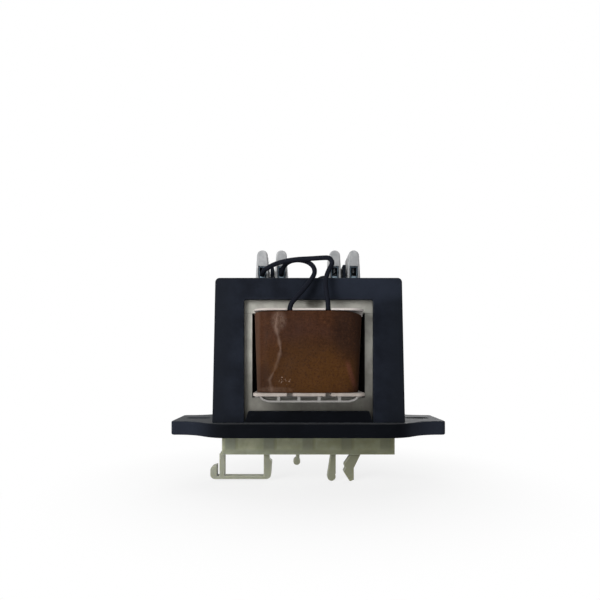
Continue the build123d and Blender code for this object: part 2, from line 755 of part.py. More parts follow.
def make_outer_hook():
    """Fixed hook for the rail's other edge, with a barb below it and a gusset behind."""
    tip = rail_half - HOOK_GRIP
    back = tip + OUTER_HOOK_BACK
    bottom = clip_bottom - HOOK_DROP - OUTER_HOOK_EXTRA
    outline = [
        (tip + BULGE_RUN, clip_bottom),
        (tip, clip_bottom - BULGE_DROP),
        (tip + BARB_NOTCH, clip_bottom - BARB_DROP + BARB_RISE),
        (tip, clip_bottom - BARB_DROP),
        (tip + TIP_SETBACK, bottom),
        (back, bottom + BARB_NOTCH),
        (back, clip_bottom - GUSSET_DROP),
        (back + GUSSET_RUN, clip_bottom),
    ]
    hook = front_profile(outline, FOOT_WIDTH)
    bulge = hook.edges().filter_by(Axis.Y).group_by(Axis.X)[0].sort_by(Axis.Z)[-1]
    hook = fillet(bulge, BULGE_ROUND)
    return fillet(hook.edges().filter_by(Axis.Y).group_by(Axis.Z)[0], TIP_ROUND)


def build_nodes():
    """Every node of the object, by name."""
    nodes = {
        "base_plate": make_base(),
        "cover_frame": make_cover(),
        "cover_screws": make_cover_screws(),
        "core_e_stack": make_e_core(),
        "core_i_stack": make_i_core(),
        "bobbin": make_bobbin(),
        "primary_winding": make_primary(),
        "winding_barrier": make_barrier(),
        "secondary_winding": make_secondary(),
        "coil_wrap": make_wrap(),
        "terminal_screws": make_terminal_screws(),
        "lead_tips": make_lead_tips(),
        "rail_clip": make_clip(),
        "clip_screws": make_clip_screws(),
    }
    for index, x in enumerate(terminal_x, start=1):
        nodes[f"terminal_housing_{index}"] = make_terminal_housing(x)
        nodes[f"terminal_cages_{index}"] = make_terminal_cages(x)
        nodes[f"terminal_busbar_{index}"] = make_terminal_busbar(x)
    for name in lead_routes:
        nodes[name] = make_lead(name)
    return nodes


os.makedirs("parts", exist_ok=True)
for node_name, solid in build_nodes().items():
    export_step(solid, f"parts/{node_name}.step")
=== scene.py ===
"""Looks of an open control transformer on a rail clip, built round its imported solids."""

import logging
import math
from collections.abc import Mapping, Sequence
from dataclasses import dataclass
from enum import Enum

import bmesh
import bpy
import numpy as np
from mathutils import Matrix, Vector
from mathutils.bvhtree import BVHTree


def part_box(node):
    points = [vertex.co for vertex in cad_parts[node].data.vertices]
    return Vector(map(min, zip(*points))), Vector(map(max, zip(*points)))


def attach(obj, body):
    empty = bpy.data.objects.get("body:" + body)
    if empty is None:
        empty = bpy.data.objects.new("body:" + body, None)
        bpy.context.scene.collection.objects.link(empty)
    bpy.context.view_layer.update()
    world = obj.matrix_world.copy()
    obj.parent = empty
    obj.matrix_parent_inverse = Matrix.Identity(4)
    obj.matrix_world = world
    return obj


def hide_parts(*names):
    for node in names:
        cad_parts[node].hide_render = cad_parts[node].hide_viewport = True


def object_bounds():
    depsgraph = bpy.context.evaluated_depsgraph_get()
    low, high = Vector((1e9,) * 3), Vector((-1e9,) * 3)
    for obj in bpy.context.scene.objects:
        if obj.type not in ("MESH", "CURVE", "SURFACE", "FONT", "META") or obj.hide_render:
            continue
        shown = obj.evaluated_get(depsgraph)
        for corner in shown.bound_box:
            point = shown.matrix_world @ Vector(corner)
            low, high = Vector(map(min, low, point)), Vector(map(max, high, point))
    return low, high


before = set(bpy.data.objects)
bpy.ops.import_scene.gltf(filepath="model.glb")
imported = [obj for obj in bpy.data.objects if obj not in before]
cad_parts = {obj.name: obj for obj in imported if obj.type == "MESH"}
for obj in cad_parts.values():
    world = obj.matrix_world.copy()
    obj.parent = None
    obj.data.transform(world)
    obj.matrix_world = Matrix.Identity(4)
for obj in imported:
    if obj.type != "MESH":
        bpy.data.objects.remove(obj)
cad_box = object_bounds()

log = logging.getLogger("transformer")

MM = 0.001
IMAGE = 600
EDGE_LAYER = "edge"
FOLD_LAYER = "fold"
PRESS_LAYER = "press"
TERMINAL_ROWS = (12.35, 21.2)
Colour = tuple[float, float, float]
Point = tuple[float, float, float]
Outline = Sequence[tuple[float, float]]
WHITE: Colour = (1.0, 1.0, 1.0)


def tone(red: int, green: int, blue: int) -> Colour:
    """A colour as seen on a screen, turned into the linear one that shaders use.

    Args:
        red: red from 0 to 255.
        green: green from 0 to 255.
        blue: blue from 0 to 255.

    Returns:
        The linear colour.
    """
    shares = [channel / 255 for channel in (red, green, blue)]
    return tuple(s / 12.92 if s <= 0.04045 else ((s + 0.055) / 1.055) ** 2.4 for s in shares)


class Signal:
    """One socket of a node tree; arithmetic on it adds the nodes that work it out."""

    def __init__(self, graph: "NodeGraph", socket: bpy.types.NodeSocket) -> None:
        """Wraps a socket of a graph."""
        self.graph = graph
        self.socket = socket

    def output(self, name: str | int) -> "Signal":
        """Another output of the same node."""
        return Signal(self.graph, self.socket.node.outputs[name])

    def _join(self, operation: str, first: object, second: object) -> "Signal":
        """Adds a Math node, or a Vector Math node where either side is a vector.

        Args:
            operation: what the node does.
            first: its first value or signal.
            second: its second value or signal.

        Returns:
            The result.
        """
        pair = (first, second)
        vector = any(isinstance(side, Signal) and side.socket.type == "VECTOR" for side in pair)
        kind = "ShaderNodeVectorMath" if vector else "ShaderNodeMath"
        return self.graph.add(kind, {"operation": operation}, {0: first, 1: second})

    def __add__(self, other: object) -> "Signal":
        """Sum."""
        return self._join("ADD", self, other)

    def __radd__(self, other: object) -> "Signal":
        """Sum, the other way round."""
        return self._join("ADD", other, self)

    def __sub__(self, other: object) -> "Signal":
        """Difference."""
        return self._join("SUBTRACT", self, other)

    def __rsub__(self, other: object) -> "Signal":
        """Difference, the other way round."""
        return self._join("SUBTRACT", other, self)

    def __mul__(self, other: object) -> "Signal":
        """Product."""
        return self._join("MULTIPLY", self, other)

    def __rmul__(self, other: object) -> "Signal":
        """Product, the other way round."""
        return self._join("MULTIPLY", other, self)

    def __truediv__(self, other: object) -> "Signal":
        """Quotient."""
        return self._join("DIVIDE", self, other)

    def peak(self, other: object) -> "Signal":
        """The larger of two values."""
        return self._join("MAXIMUM", self, other)

    def fold_back(self, reach: float) -> "Signal":
        """Distance to the nearest multiple of twice the reach."""
        return self._join("PINGPONG", self, reach)

    def size(self) -> "Signal":
        """The value without its sign."""
        return self.graph.add("ShaderNodeMath", {"operation": "ABSOLUTE"}, {0: self})


class NodeGraph:
    """A node tree that is written as calls and Python expressions."""

    def __init__(self, tree: bpy.types.NodeTree) -> None:
        """Takes the tree that the nodes go into."""
        self.tree = tree

    def add(
        self,
        kind: str,
        settings: Mapping[str, object] | None = None,
        sockets: Mapping[str | int, object] | None = None,
        out: str | int = 0,
    ) -> Signal:
        """Adds any node.

        Args:
            kind: the node's type.
            settings: the node's own properties, which are set first.
            sockets: the values or links of its inputs.
            out: the output that is returned.

        Returns:
            The chosen output.
        """
        node = self.tree.nodes.new(kind)
        for name, value in (settings or {}).items():
            setattr(node, name, value)
        for key, value in (sockets or {}).items():
            self.plug(node.inputs[key], value)
        return Signal(self, node.outputs[out])

    def plug(self, socket: bpy.types.NodeSocket, value: object) -> None:
        """Links a signal to a socket, or sets the socket's own value.

        Args:
            socket: the input.
            value: a signal, a number, a colour or a vector.
        """
        if isinstance(value, Signal):
            self.tree.links.new(value.socket, socket)
        elif socket.type == "VECTOR" and isinstance(value, (int, float)):
            socket.default_value = (value,) * 3
        elif socket.type == "RGBA" and len(value) == 3:
            socket.default_value = (*value, 1.0)
        else:
            socket.default_value = value

    def end(self, kind: str, signal: Signal) -> None:
        """Adds an output node and links a signal to its first socket."""
        node = self.tree.nodes.new(kind)
        self.plug(node.inputs[0], signal)


class ShaderGraph(NodeGraph):
    """The node tree of one material, with places in millimetres."""

    def __init__(self, name: str) -> None:
        """Makes an empty material.

        Args:
            name: the material's name.
        """
        self.material = bpy.data.materials.new(name)
        self.material.use_nodes = True
        super().__init__(self.material.node_tree)
        self.tree.nodes.clear()
        self.place = self.add("ShaderNodeTexCoord", out="Object") * (1 / MM)

    def axes(self) -> tuple[Signal, Signal, Signal]:
        """The place's X, Y and Z in millimetres."""
        split = self.add("ShaderNodeSeparateXYZ", sockets={0: self.place})
        return split, split.output("Y"), split.output("Z")

    def noise(
        self,
        size: float,
        detail: float = 2.0,
        roughness: float = 0.5,
        stretch: Point = (1.0, 1.0, 1.0),
        shift: float = 0.0,
    ) -> Signal:
        """Cloudy noise from 0 to 1.

        Args:
            size: size of its spots in millimetres.
            detail: number of finer layers.
            roughness: strength of the finer layers.
            stretch: how many times longer the spots are along each axis.
            shift: moves the pattern, so that two layers differ.

        Returns:
            The noise value.
        """
        scale = tuple(1 / (size * times) for times in stretch)
        sockets = {"Vector": self.place, "Scale": scale, "Location": (shift, 0.7 * shift, -shift)}
        spot = self.add("ShaderNodeMapping", sockets=sockets)
        sockets = {"Vector": spot, "Scale": 1.0, "Detail": detail, "Roughness": roughness}
        return self.add("ShaderNodeTexNoise", sockets=sockets)

    def smooth(self, value: Signal, low: float, high: float) -> Signal:
        """A soft step from 0 at low to 1 at high."""
        settings = {"interpolation_type": "SMOOTHSTEP", "clamp": True}
        return self.add("ShaderNodeMapRange", settings, {0: value, 1: low, 2: high, 3: 0.0, 4: 1.0})

    def patch(self, centre: tuple[float, float], reach: tuple[float, float], soft: float) -> Signal:
        """A soft oval patch across X and Z.

        Args:
            centre: its middle, X and Z in millimetres.
            reach: its half width and half height.
            soft: share of the reach over which it fades.

        Returns:
            1 in the patch and 0 outside.
        """
        x, _, z = self.axes()
        across = (x - centre[0]) / reach[0]
        up = (z - centre[1]) / reach[1]
        return 1 - self.smooth(across * across + up * up, 1 - soft, 1 + soft)

    def coats(self, ground: Colour, *coats: tuple[Signal, Colour]) -> Signal:
        """Lays colours over a ground, one after the other.

        Args:
            ground: the colour underneath.
            coats: the share and the colour of each coat, from the lowest up.

        Returns:
            The colour that shows.
        """
        settings = {"data_type": "RGBA", "blend_type": "MIX"}
        shown = ground
        for share, colour in coats:
            sockets = {0: share, 6: shown, 7: colour}
            shown = self.add("ShaderNodeMix", settings, sockets, out=2)
        return shown

    def bump(self, height: Signal, depth: float, under: Signal | None = None) -> Signal:
        """A bumped normal.

        Args:
            height: height from 0 to 1.
            depth: what a height of 1 stands for, in millimetres.
            under: another bumped normal to add to.

        Returns:
            The normal.
        """
        sockets = {"Height": height, "Distance": depth * MM, "Strength": 1.0}
        if under is not None:
            sockets["Normal"] = under
        return self.add("ShaderNodeBump", sockets=sockets)

    def layer(self, name: str) -> Signal:
        """A value that the mesh itself carries."""
        return self.add("ShaderNodeAttribute", {"attribute_name": name}, out="Fac")

    def edges(self) -> Signal:
        """1 on the broken edges of a moulding or stamping, 0 elsewhere."""
        return self.layer(EDGE_LAYER)

    def surface(self, sockets: Mapping[str, object]) -> bpy.types.Material:
        """Closes the tree with a Principled shader.

        Args:
            sockets: the shader's sockets by name.

        Returns:
            The finished material.
        """
        shader = self.add("ShaderNodeBsdfPrincipled", sockets=sockets)
        self.end("ShaderNodeOutputMaterial", shader)
        return self.material


class GeometryGraph(NodeGraph):
    """A Geometry Nodes tree with named sizes, run once to give a plain mesh."""

    def __init__(self, name: str) -> None:
        """Makes an empty tree that takes and gives a geometry.

        Args:
            name: the tree's name.
        """
        super().__init__(bpy.data.node_groups.new(name, "GeometryNodeTree"))
        for way in ("INPUT", "OUTPUT"):
            self.tree.interface.new_socket("Geometry", in_out=way, socket_type="NodeSocketGeometry")
        self.entry = self.tree.nodes.new("NodeGroupInput")
        self.values: dict[str, object] = {}

    def shape(self) -> Signal:
        """The mesh that the tree is run on."""
        return Signal(self, self.entry.outputs["Geometry"])

    def size(self, name: str, kind: str, value: object) -> Signal:
        """Adds a named input.

        Args:
            name: the input's name.
            kind: its socket type, such as Float or Int.
            value: what it is set to on the modifier.

        Returns:
            The input as a signal.
        """
        item = self.tree.interface.new_socket(name, in_out="INPUT", socket_type=f"NodeSocket{kind}")
        self.values[item.identifier] = value
        return Signal(self, self.entry.outputs[name])

    def vector(self, **parts: object) -> Signal:
        """A vector from its named parts."""
        return self.add("ShaderNodeCombineXYZ", sockets=parts)

    def row(self, count: object, first: object, step: object) -> Signal:
        """A row of points.

        Args:
            count: how many points it has.
            first: where the first one is.
            step: the way from each point to the next.

        Returns:
            The points.
        """
        sockets = {"Count": count, "Start Location": first, "Offset": step}
        return self.add("GeometryNodeMeshLine", {"mode": "OFFSET"}, sockets)

    def spread(self, points: Signal, shape: Signal, turn: Signal | None = None) -> Signal:
        """Repeats a shape.

        Args:
            points: where it goes.
            shape: the shape.
            turn: how it is turned at each point.

        Returns:
            The repeated shape.
        """
        sockets = {"Points": points, "Instance": shape}
        if turn is not None:
            sockets["Rotation"] = turn
        return self.add("GeometryNodeInstanceOnPoints", sockets=sockets)

    def rod(self, path: Signal, radius: Signal, sides: int, capped: bool) -> Signal:
        """Sweeps a round section along a path.

        Args:
            path: the path.
            radius: the section's radius.
            sides: the section's number of sides.
            capped: whether the ends are closed.

        Returns:
            The rod.
        """
        sockets = {"Resolution": sides, "Radius": radius}
        section = self.add("GeometryNodeCurvePrimitiveCircle", sockets=sockets)
        sockets = {"Curve": path, "Profile Curve": section, "Fill Caps": capped}
        return self.add("GeometryNodeCurveToMesh", sockets=sockets)

    def make(
        self,
        result: Signal,
        material: bpy.types.Material,
        mesh: bpy.types.Mesh,
    ) -> bpy.types.Mesh:
        """Closes the tree and runs it.

        Args:
            result: the geometry to keep.
            material: the finish that it gets.
            mesh: the mesh that the tree is run on.

        Returns:
            The result as a plain mesh.
        """
        whole = self.add("GeometryNodeRealizeInstances", sockets={0: result})
        finish = self.size("Finish", "Material", material)
        sockets = {"Geometry": whole, "Material": finish}
        dressed = self.add("GeometryNodeSetMaterial", sockets=sockets)
        self.end("NodeGroupOutput", dressed)
        holder = hold(mesh, self.tree.name)
        modifier = holder.modifiers.new("build", "NODES")
        modifier.node_group = self.tree
        for identifier, value in self.values.items():
            modifier[identifier] = value
        return release(holder)


def hold(mesh: bpy.types.Mesh, name: str) -> bpy.types.Object:
    """Puts a mesh into the scene for as long as modifiers work on it.

    Args:
        mesh: the mesh.
        name: name of its holder.

    Returns:
        The holder.
    """
    holder = bpy.data.objects.new(name, mesh)
    bpy.context.scene.collection.objects.link(holder)
    return holder


def release(holder: bpy.types.Object) -> bpy.types.Mesh:
    """Takes the finished mesh from a holder and removes the holder.

    Args:
        holder: the holder.

    Returns:
        The mesh, with its modifiers applied.
    """
    depsgraph = bpy.context.evaluated_depsgraph_get()
    made = bpy.data.meshes.new_from_object(holder.evaluated_get(depsgraph))
    holder.modifiers.clear()
    bpy.data.objects.remove(holder)
    return made


def to_mesh(shape: bmesh.types.BMesh, name: str) -> bpy.types.Mesh:
    """Turns a finished shape into a mesh and frees the shape.

    Args:
        shape: the shape.
        name: name of the mesh.

    Returns:
        The mesh.
    """
    mesh = bpy.data.meshes.new(name)
    shape.to_mesh(mesh)
    shape.free()
    return mesh


def prism(outline: Outline, depth: float, bevel: float, name: str) -> bpy.types.Mesh:
    """A plate across Y with broken edges, centred on Y = 0.

    Args:
        outline: its outline in X and Z, in millimetres.
        depth: its depth along Y in millimetres.
        bevel: width of the broken edges in millimetres.
        name: name of the mesh.

    Returns:
        The plate.
    """
    shape = bmesh.new()
    corners = [shape.verts.new((x * MM, -depth / 2 * MM, z * MM)) for x, z in outline]
    face = shape.faces.new(corners)
    grown = bmesh.ops.extrude_face_region(shape, geom=[face])
    moved = [item for item in grown["geom"] if isinstance(item, bmesh.types.BMVert)]
    bmesh.ops.translate(shape, verts=moved, vec=(0, depth * MM, 0))
    bmesh.ops.recalc_face_normals(shape, faces=shape.faces)
    runs = [(edge, abs(edge.verts[0].co.y - edge.verts[1].co.y)) for edge in shape.edges]
    rims = [edge for edge, run in runs if run < depth / 2 * MM]
    bmesh.ops.bevel(shape, geom=rims, offset=bevel * MM, segments=1, affect="EDGES")
    return to_mesh(shape, name)


def turned(profile: Outline, sides: int, name: str) -> bpy.types.Mesh:
    """A turned part round Z, closed at both ends.

    Args:
        profile: radius and height of each ring from the bottom up, in millimetres.
        sides: number of sides.
        name: name of the mesh.

    Returns:
        The turned part.
    """
    shape = bmesh.new()
    rings = []
    for radius, height in profile:
        angles = [2 * math.pi * index / sides for index in range(sides)]
        places = [(radius * math.cos(angle), radius * math.sin(angle), height) for angle in angles]
        rings.append([shape.verts.new(Vector(place) * MM) for place in places])
    for low, high in zip(rings, rings[1:]):
        for index in range(sides):
            after = (index + 1) % sides
            shape.faces.new((low[index], low[after], high[after], high[index]))
    shape.faces.new(list(reversed(rings[0])))
    shape.faces.new(rings[-1])
    return to_mesh(shape, name)


def carve(body: bpy.types.Mesh, size: Point, centre: Point) -> bpy.types.Mesh:
    """Takes a block out of a closed mesh.

    Args:
        body: the mesh to cut.
        size: the block's size in millimetres.
        centre: the block's middle in millimetres.

    Returns:
        The cut mesh.
    """
    shape = bmesh.new()
    bmesh.ops.create_cube(shape, size=1.0)
    for vert in shape.verts:
        vert.co = [(c + v * s) * MM for v, s, c in zip(vert.co, size, centre)]
    tool = hold(to_mesh(shape, "cutter"), "cutter")
    holder = hold(body, "carved")
    cut = holder.modifiers.new("cut", "BOOLEAN")
    cut.object = tool
    cut.solver = "EXACT"
    made = release(holder)
    bpy.data.objects.remove(tool)
    return made


def ramp(values: np.ndarray, low: float, high: float) -> np.ndarray:
    """A straight step from 0 at low to 1 at high."""
    return np.clip((values - low) / (high - low), 0.0, 1.0)


@dataclass(frozen=True)
class SoftEdges:
    """Breaks the sharp edges of a copied solid and marks them for its finish.

    Attributes:
        width: width of a broken edge in millimetres.
        segments: faces across a broken edge.
        profile: how full a broken edge is, 0.5 being round.
        sharp: edges with a larger angle than this are broken, in degrees.
        flat: faces with a smaller angle than this between them are joined, in degrees.
        crisp: angle from which the shading of two faces stays apart, in degrees.
        weld: points of the solid closer than this are one, in millimetres.
        touch: the same, for points that the broken edges bring together.
        berth: how far an edge keeps from faces that cross, as a multiple of the width.
        tries: how many times edges are left out, each time with a wider berth.
    """

    width: float
    segments: int = 2
    profile: float = 0.6
    sharp: float = 35.0
    flat: float = 0.4
    crisp: float = 48.0
    weld: float = 0.002
    touch: float = 0.0001
    berth: float = 3.0
    tries: int = 4

    def copy(self, node: str) -> bpy.types.Mesh:
        """Copies a node's solid and breaks its sharp edges.

        Args:
            node: the node's name.

        Returns:
            The copy, with smooth normals.
        """
        solid = bmesh.new()
        solid.from_mesh(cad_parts[node].data)
        bmesh.ops.remove_doubles(solid, verts=solid.verts, dist=self.weld * MM)
        flat = math.radians(self.flat)
        bmesh.ops.dissolve_limit(solid, angle_limit=flat, verts=solid.verts, edges=solid.edges)
        solid.edges.index_update()
        solid.edges.ensure_lookup_table()
        limit = math.radians(self.sharp)
        sharp = [edge.index for edge in solid.edges if edge.calc_face_angle(0.0) > limit]
        shape = self._broken(solid, sharp)
        for attempt in range(1, self.tries + 1):
            spots = self._crossings(shape)
            if not spots:
                break
            shape.free()
            sharp = self._clear(solid, sharp, spots, attempt * self.berth * self.width)
            shape = self._broken(solid, sharp)
        solid.free()
        mesh = to_mesh(shape, node)
        mesh.shade_smooth()
        mesh.set_sharp_from_angle(angle=math.radians(self.crisp))
        holder = hold(mesh, node + "_work")
        weights = holder.modifiers.new("weights", "WEIGHTED_NORMAL")
        weights.keep_sharp = True
        return release(holder)

    def _broken(self, solid: bmesh.types.BMesh, sharp: Sequence[int]) -> bmesh.types.BMesh:
        """Breaks edges of a solid, in a copy.

        Args:
            solid: the solid.
            sharp: the numbers of its edges to break.

        Returns:
            The copy, with its new faces marked.
        """
        shape = solid.copy()
        shape.edges.ensure_lookup_table()
        layer = shape.faces.layers.float.new(EDGE_LAYER)
        broken = bmesh.ops.bevel(
            shape,
            geom=[shape.edges[number] for number in sharp],
            offset=self.width * MM,
            segments=self.segments,
            profile=self.profile,
            affect="EDGES",
            clamp_overlap=False,
            loop_slide=True,
        )
        for face in broken["faces"]:
            face[layer] = 1.0
        bmesh.ops.remove_doubles(shape, verts=shape.verts, dist=self.touch * MM)
        return shape

    @staticmethod
    def _crossings(shape: bmesh.types.BMesh) -> list[np.ndarray]:
        """Finds where triangles of a shape cut into each other.

        Args:
            shape: the shape.

        Returns:
            The middle of the smaller triangle of each such pair.
        """
        shape.verts.index_update()
        places = np.array([vertex.co for vertex in shape.verts])
        corners = [[loop.vert.index for loop in loops] for loops in shape.calc_loop_triangles()]
        triangles = places[corners]
        spans = np.ptp(triangles, axis=1).max(axis=1)
        tree = BVHTree.FromPolygons(places.tolist(), corners, all_triangles=True)
        spots = []
        for one, two in tree.overlap(tree):
            if one < two and not set(corners[one]) & set(corners[two]):
                smaller = one if spans[one] <= spans[two] else two
                spots.append(triangles[smaller].mean(axis=0))
        return spots

    @staticmethod
    def _clear(
        solid: bmesh.types.BMesh,
        sharp: Sequence[int],
        spots: Sequence[np.ndarray],
        berth: float,
    ) -> list[int]:
        """Picks the edges that keep clear of some places.

        Args:
            solid: the solid.
            sharp: the numbers of its edges to choose from.
            spots: the places.
            berth: how far away from them an edge has to lie, in millimetres.

        Returns:
            The numbers of the edges that lie further away.
        """
        ends = np.array([[vertex.co for vertex in solid.edges[number].verts] for number in sharp])
        start, run = ends[:, 0], ends[:, 1] - ends[:, 0]
        clear = np.ones(len(sharp), bool)
        for spot in spots:
            share = np.clip(((spot - start) * run).sum(1) / (run * run).sum(1), 0.0, 1.0)
            away = np.linalg.norm(start + share[:, None] * run - spot, axis=1)
            clear &= away > berth * MM
        return [number for number, free in zip(sharp, clear) if free]


@dataclass(frozen=True)
class HousingPlastic:
    """Satin blue-black moulding with a spark-eroded grain, rubbed edges and a painted sheen.

    Attributes:
        name: name of the material.
        body: its main colour.
        cloud: the lighter colour that it clouds into.
        ends: the colour towards both ends.
        reach: distances from the middle between which the ends' colour sets in.
        shelf: height of the upper face, on which dust lies.
        painted_sheen: the colour of a paler patch, a painted sheen where light falls.
        painted_sheen_at: middle and half size of that patch, X and Z.
        rubbed: the colour of rubbed edges.
        dust: the colour of dust.
    """

    name: str
    body: Colour
    cloud: Colour
    ends: Colour
    reach: tuple[float, float]
    shelf: float
    painted_sheen: Colour
    painted_sheen_at: tuple[tuple[float, float], tuple[float, float]]
    rubbed: Colour = tone(66, 71, 79)
    dust: Colour = tone(84, 86, 88)

    def material(self) -> bpy.types.Material:
        """Builds the finish.

        Returns:
            The material.
        """
        graph = ShaderGraph(self.name)
        clouds = graph.noise(size=11.0, detail=4.0, roughness=0.6)
        grain = graph.noise(size=0.34, roughness=0.55, shift=3.0)
        drag = graph.noise(0.5, detail=3.0, roughness=0.6, stretch=(9.0, 9.0, 1.0), shift=7.0)
        scuffs = graph.smooth(drag, 0.60, 0.78)
        knocks = graph.noise(size=1.7, detail=3.0, roughness=0.65, shift=4.0)
        worn = graph.edges() * graph.smooth(knocks, 0.38, 0.64) * 0.4
        x, _, z = graph.axes()
        level = graph.smooth(z, self.shelf - 0.3, self.shelf - 0.02)
        dust = level * (1 - graph.smooth(z, self.shelf + 0.03, self.shelf + 0.1))
        # painted sheen: a paler patch where light falls on the moulding
        painted_sheen = graph.patch(*self.painted_sheen_at, soft=0.9) * (0.5 + clouds * 0.5)
        colour = graph.coats(
            self.body,
            (graph.smooth(clouds, 0.3, 0.7), self.cloud),
            (graph.smooth(x.size(), *self.reach), self.ends),
            (painted_sheen, self.painted_sheen),
            (dust * (0.35 + clouds * 0.5), self.dust),
            (scuffs * 0.12, self.rubbed),
            (worn, self.rubbed),
        )
        return graph.surface(
            {
                "Base Color": colour,
                "Roughness": 0.52 + clouds * 0.12 - worn * 0.3 + scuffs * 0.08,
                "Specular IOR Level": 0.025,
                "Normal": graph.bump(grain, depth=0.016),
            }
        )


@dataclass(frozen=True)
class CoreSheet:
    """Dull rolled core sheet with a thin oxide, rust spots, a dark patch on its head and painted
    shade.

    Attributes:
        bright: the sheet where it is clean.
        dull: the sheet under its oxide.
        stain_and_shade: the colour of rust spots and of the joint line, also laid on as painted
            shade towards the bottom, on the head and towards the right.
        painted_window_shade: painted shade on the faces inside the core's window.
        joint: half the width of the line between the two piles.
        window: half width and half height of the core's window.
        window_middle: height of the window's middle.
        fade: how far the painted shade inside the window fades.
    """

    bright: Colour = tone(182, 181, 173)
    dull: Colour = tone(150, 149, 142)
    stain_and_shade: Colour = tone(74, 71, 64)
    painted_window_shade: Colour = tone(16, 15, 15)
    joint: float = 0.14
    window: tuple[float, float] = (25.06, 18.7)
    window_middle: float = 36.0
    fade: float = 0.08

    def material(self) -> bpy.types.Material:
        """Builds the finish.

        Returns:
            The material.
        """
        graph = ShaderGraph("core_sheet")
        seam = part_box("core_i_stack")[0].z / MM
        clouds = graph.noise(size=7.0, detail=5.0, roughness=0.6)
        rolled = graph.noise(size=0.16, detail=3.0, roughness=0.6, stretch=(1.0, 1.0, 70.0))
        rust = graph.noise(size=1.1, detail=4.0, roughness=0.7, shift=5.0)
        spots = graph.smooth(rust, 0.62, 0.78)
        x, _, z = graph.axes()
        # painted shade: the faces inside the core's window are made near black
        wide, high = self.window
        beside = graph.smooth(x.size(), wide, wide + self.fade)
        beyond = graph.smooth((z - self.window_middle).size(), high, high + self.fade)
        window = (1 - beside) * (1 - beyond)
        # a darker patch on the core's head between the leads
        dark_patch = graph.patch((2.8, 59.2), (3.8, 2.0), soft=0.8) * graph.smooth(clouds, 0.15, 0.55)
        # painted shade: darker towards the bottom, on the head and towards the right
        low = 1 - graph.smooth(z + clouds * 8.0, 12.0, 50.0)
        head = graph.smooth(z, seam + 2.0, seam + 5.0)
        line = 1 - graph.smooth((z - seam).size(), 0.04, self.joint)
        right = graph.smooth(x, 5.0, 28.0) * (head * 0.16 + low * 0.12)
        colour = graph.coats(
            self.dull,
            (graph.smooth(clouds, 0.3, 0.72), self.bright),
            (rolled * 0.30, self.dull),
            (spots * 0.3 + low * 0.7 + dark_patch * 0.75 + head * 0.13 + right, self.stain_and_shade),
            (line * 0.5, self.stain_and_shade),
            (window * 0.95, self.painted_window_shade),
        )
        return graph.surface(
            {
                "Base Color": colour,
                "Metallic": (1 - window) * (0.22 - spots * 0.15),
                "Roughness": 0.50 + rolled * 0.14 + spots * 0.12 + window * 0.3,
                "Specular IOR Level": 0.15,
                "Normal": graph.bump(rolled, 0.006, under=graph.bump(clouds, 0.02)),
            }
        )


@dataclass(frozen=True)
class BobbinNylon:
    """White moulded nylon, a little yellowed, with rubbed rims and painted light on the upper
    flange.

    Attributes:
        body: its main colour.
        aged: the colour where it has yellowed.
        duct: the colour of the duct, which lies in shade.
        duct_top: height up to which the duct reaches.
        rim: the paler colour of the upper flange, painted light that is stronger towards the right.
        rim_foot: height from which the upper flange begins.
    """

    body: Colour = tone(172, 163, 156)
    aged: Colour = tone(154, 145, 137)
    duct: Colour = tone(140, 138, 135)
    duct_top: float = 18.4
    rim: Colour = tone(206, 199, 195)
    rim_foot: float = 52.9

    def material(self) -> bpy.types.Material:
        """Builds the finish.

        Returns:
            The material.
        """
        graph = ShaderGraph("bobbin_nylon")
        clouds = graph.noise(size=5.0, detail=4.0, roughness=0.6)
        grain = graph.noise(size=0.25, shift=2.0)
        flow = graph.noise(size=1.2, detail=3.0, stretch=(6.0, 1.0, 1.0), shift=6.0)
        x, _, z = graph.axes()
        # painted light: the upper flange is made paler, more so towards the right
        lit = 0.45 + graph.smooth(x, -12.0, 14.0) * 0.5
        rim = graph.smooth(z, self.rim_foot, self.rim_foot + 0.3) * lit
        duct = 1 - graph.smooth(z, self.duct_top - 0.2, self.duct_top + 0.2)
        colour = graph.coats(
            self.body,
            (graph.smooth(clouds, 0.35, 0.75), self.aged),
            (graph.edges() * 0.4, self.body),
            (rim, self.rim),
            (duct, self.duct),
        )
        return graph.surface(
            {
                "Base Color": colour,
                "Roughness": 0.44 + flow * 0.18,
                "Specular IOR Level": 0.15,
                "Subsurface Weight": 0.08,
                "Subsurface Radius": (1.0, 0.9, 0.8),
                "Subsurface Scale": 0.0006,
                "Normal": graph.bump(grain, 0.008, under=graph.bump(flow, 0.01)),
            }
        )


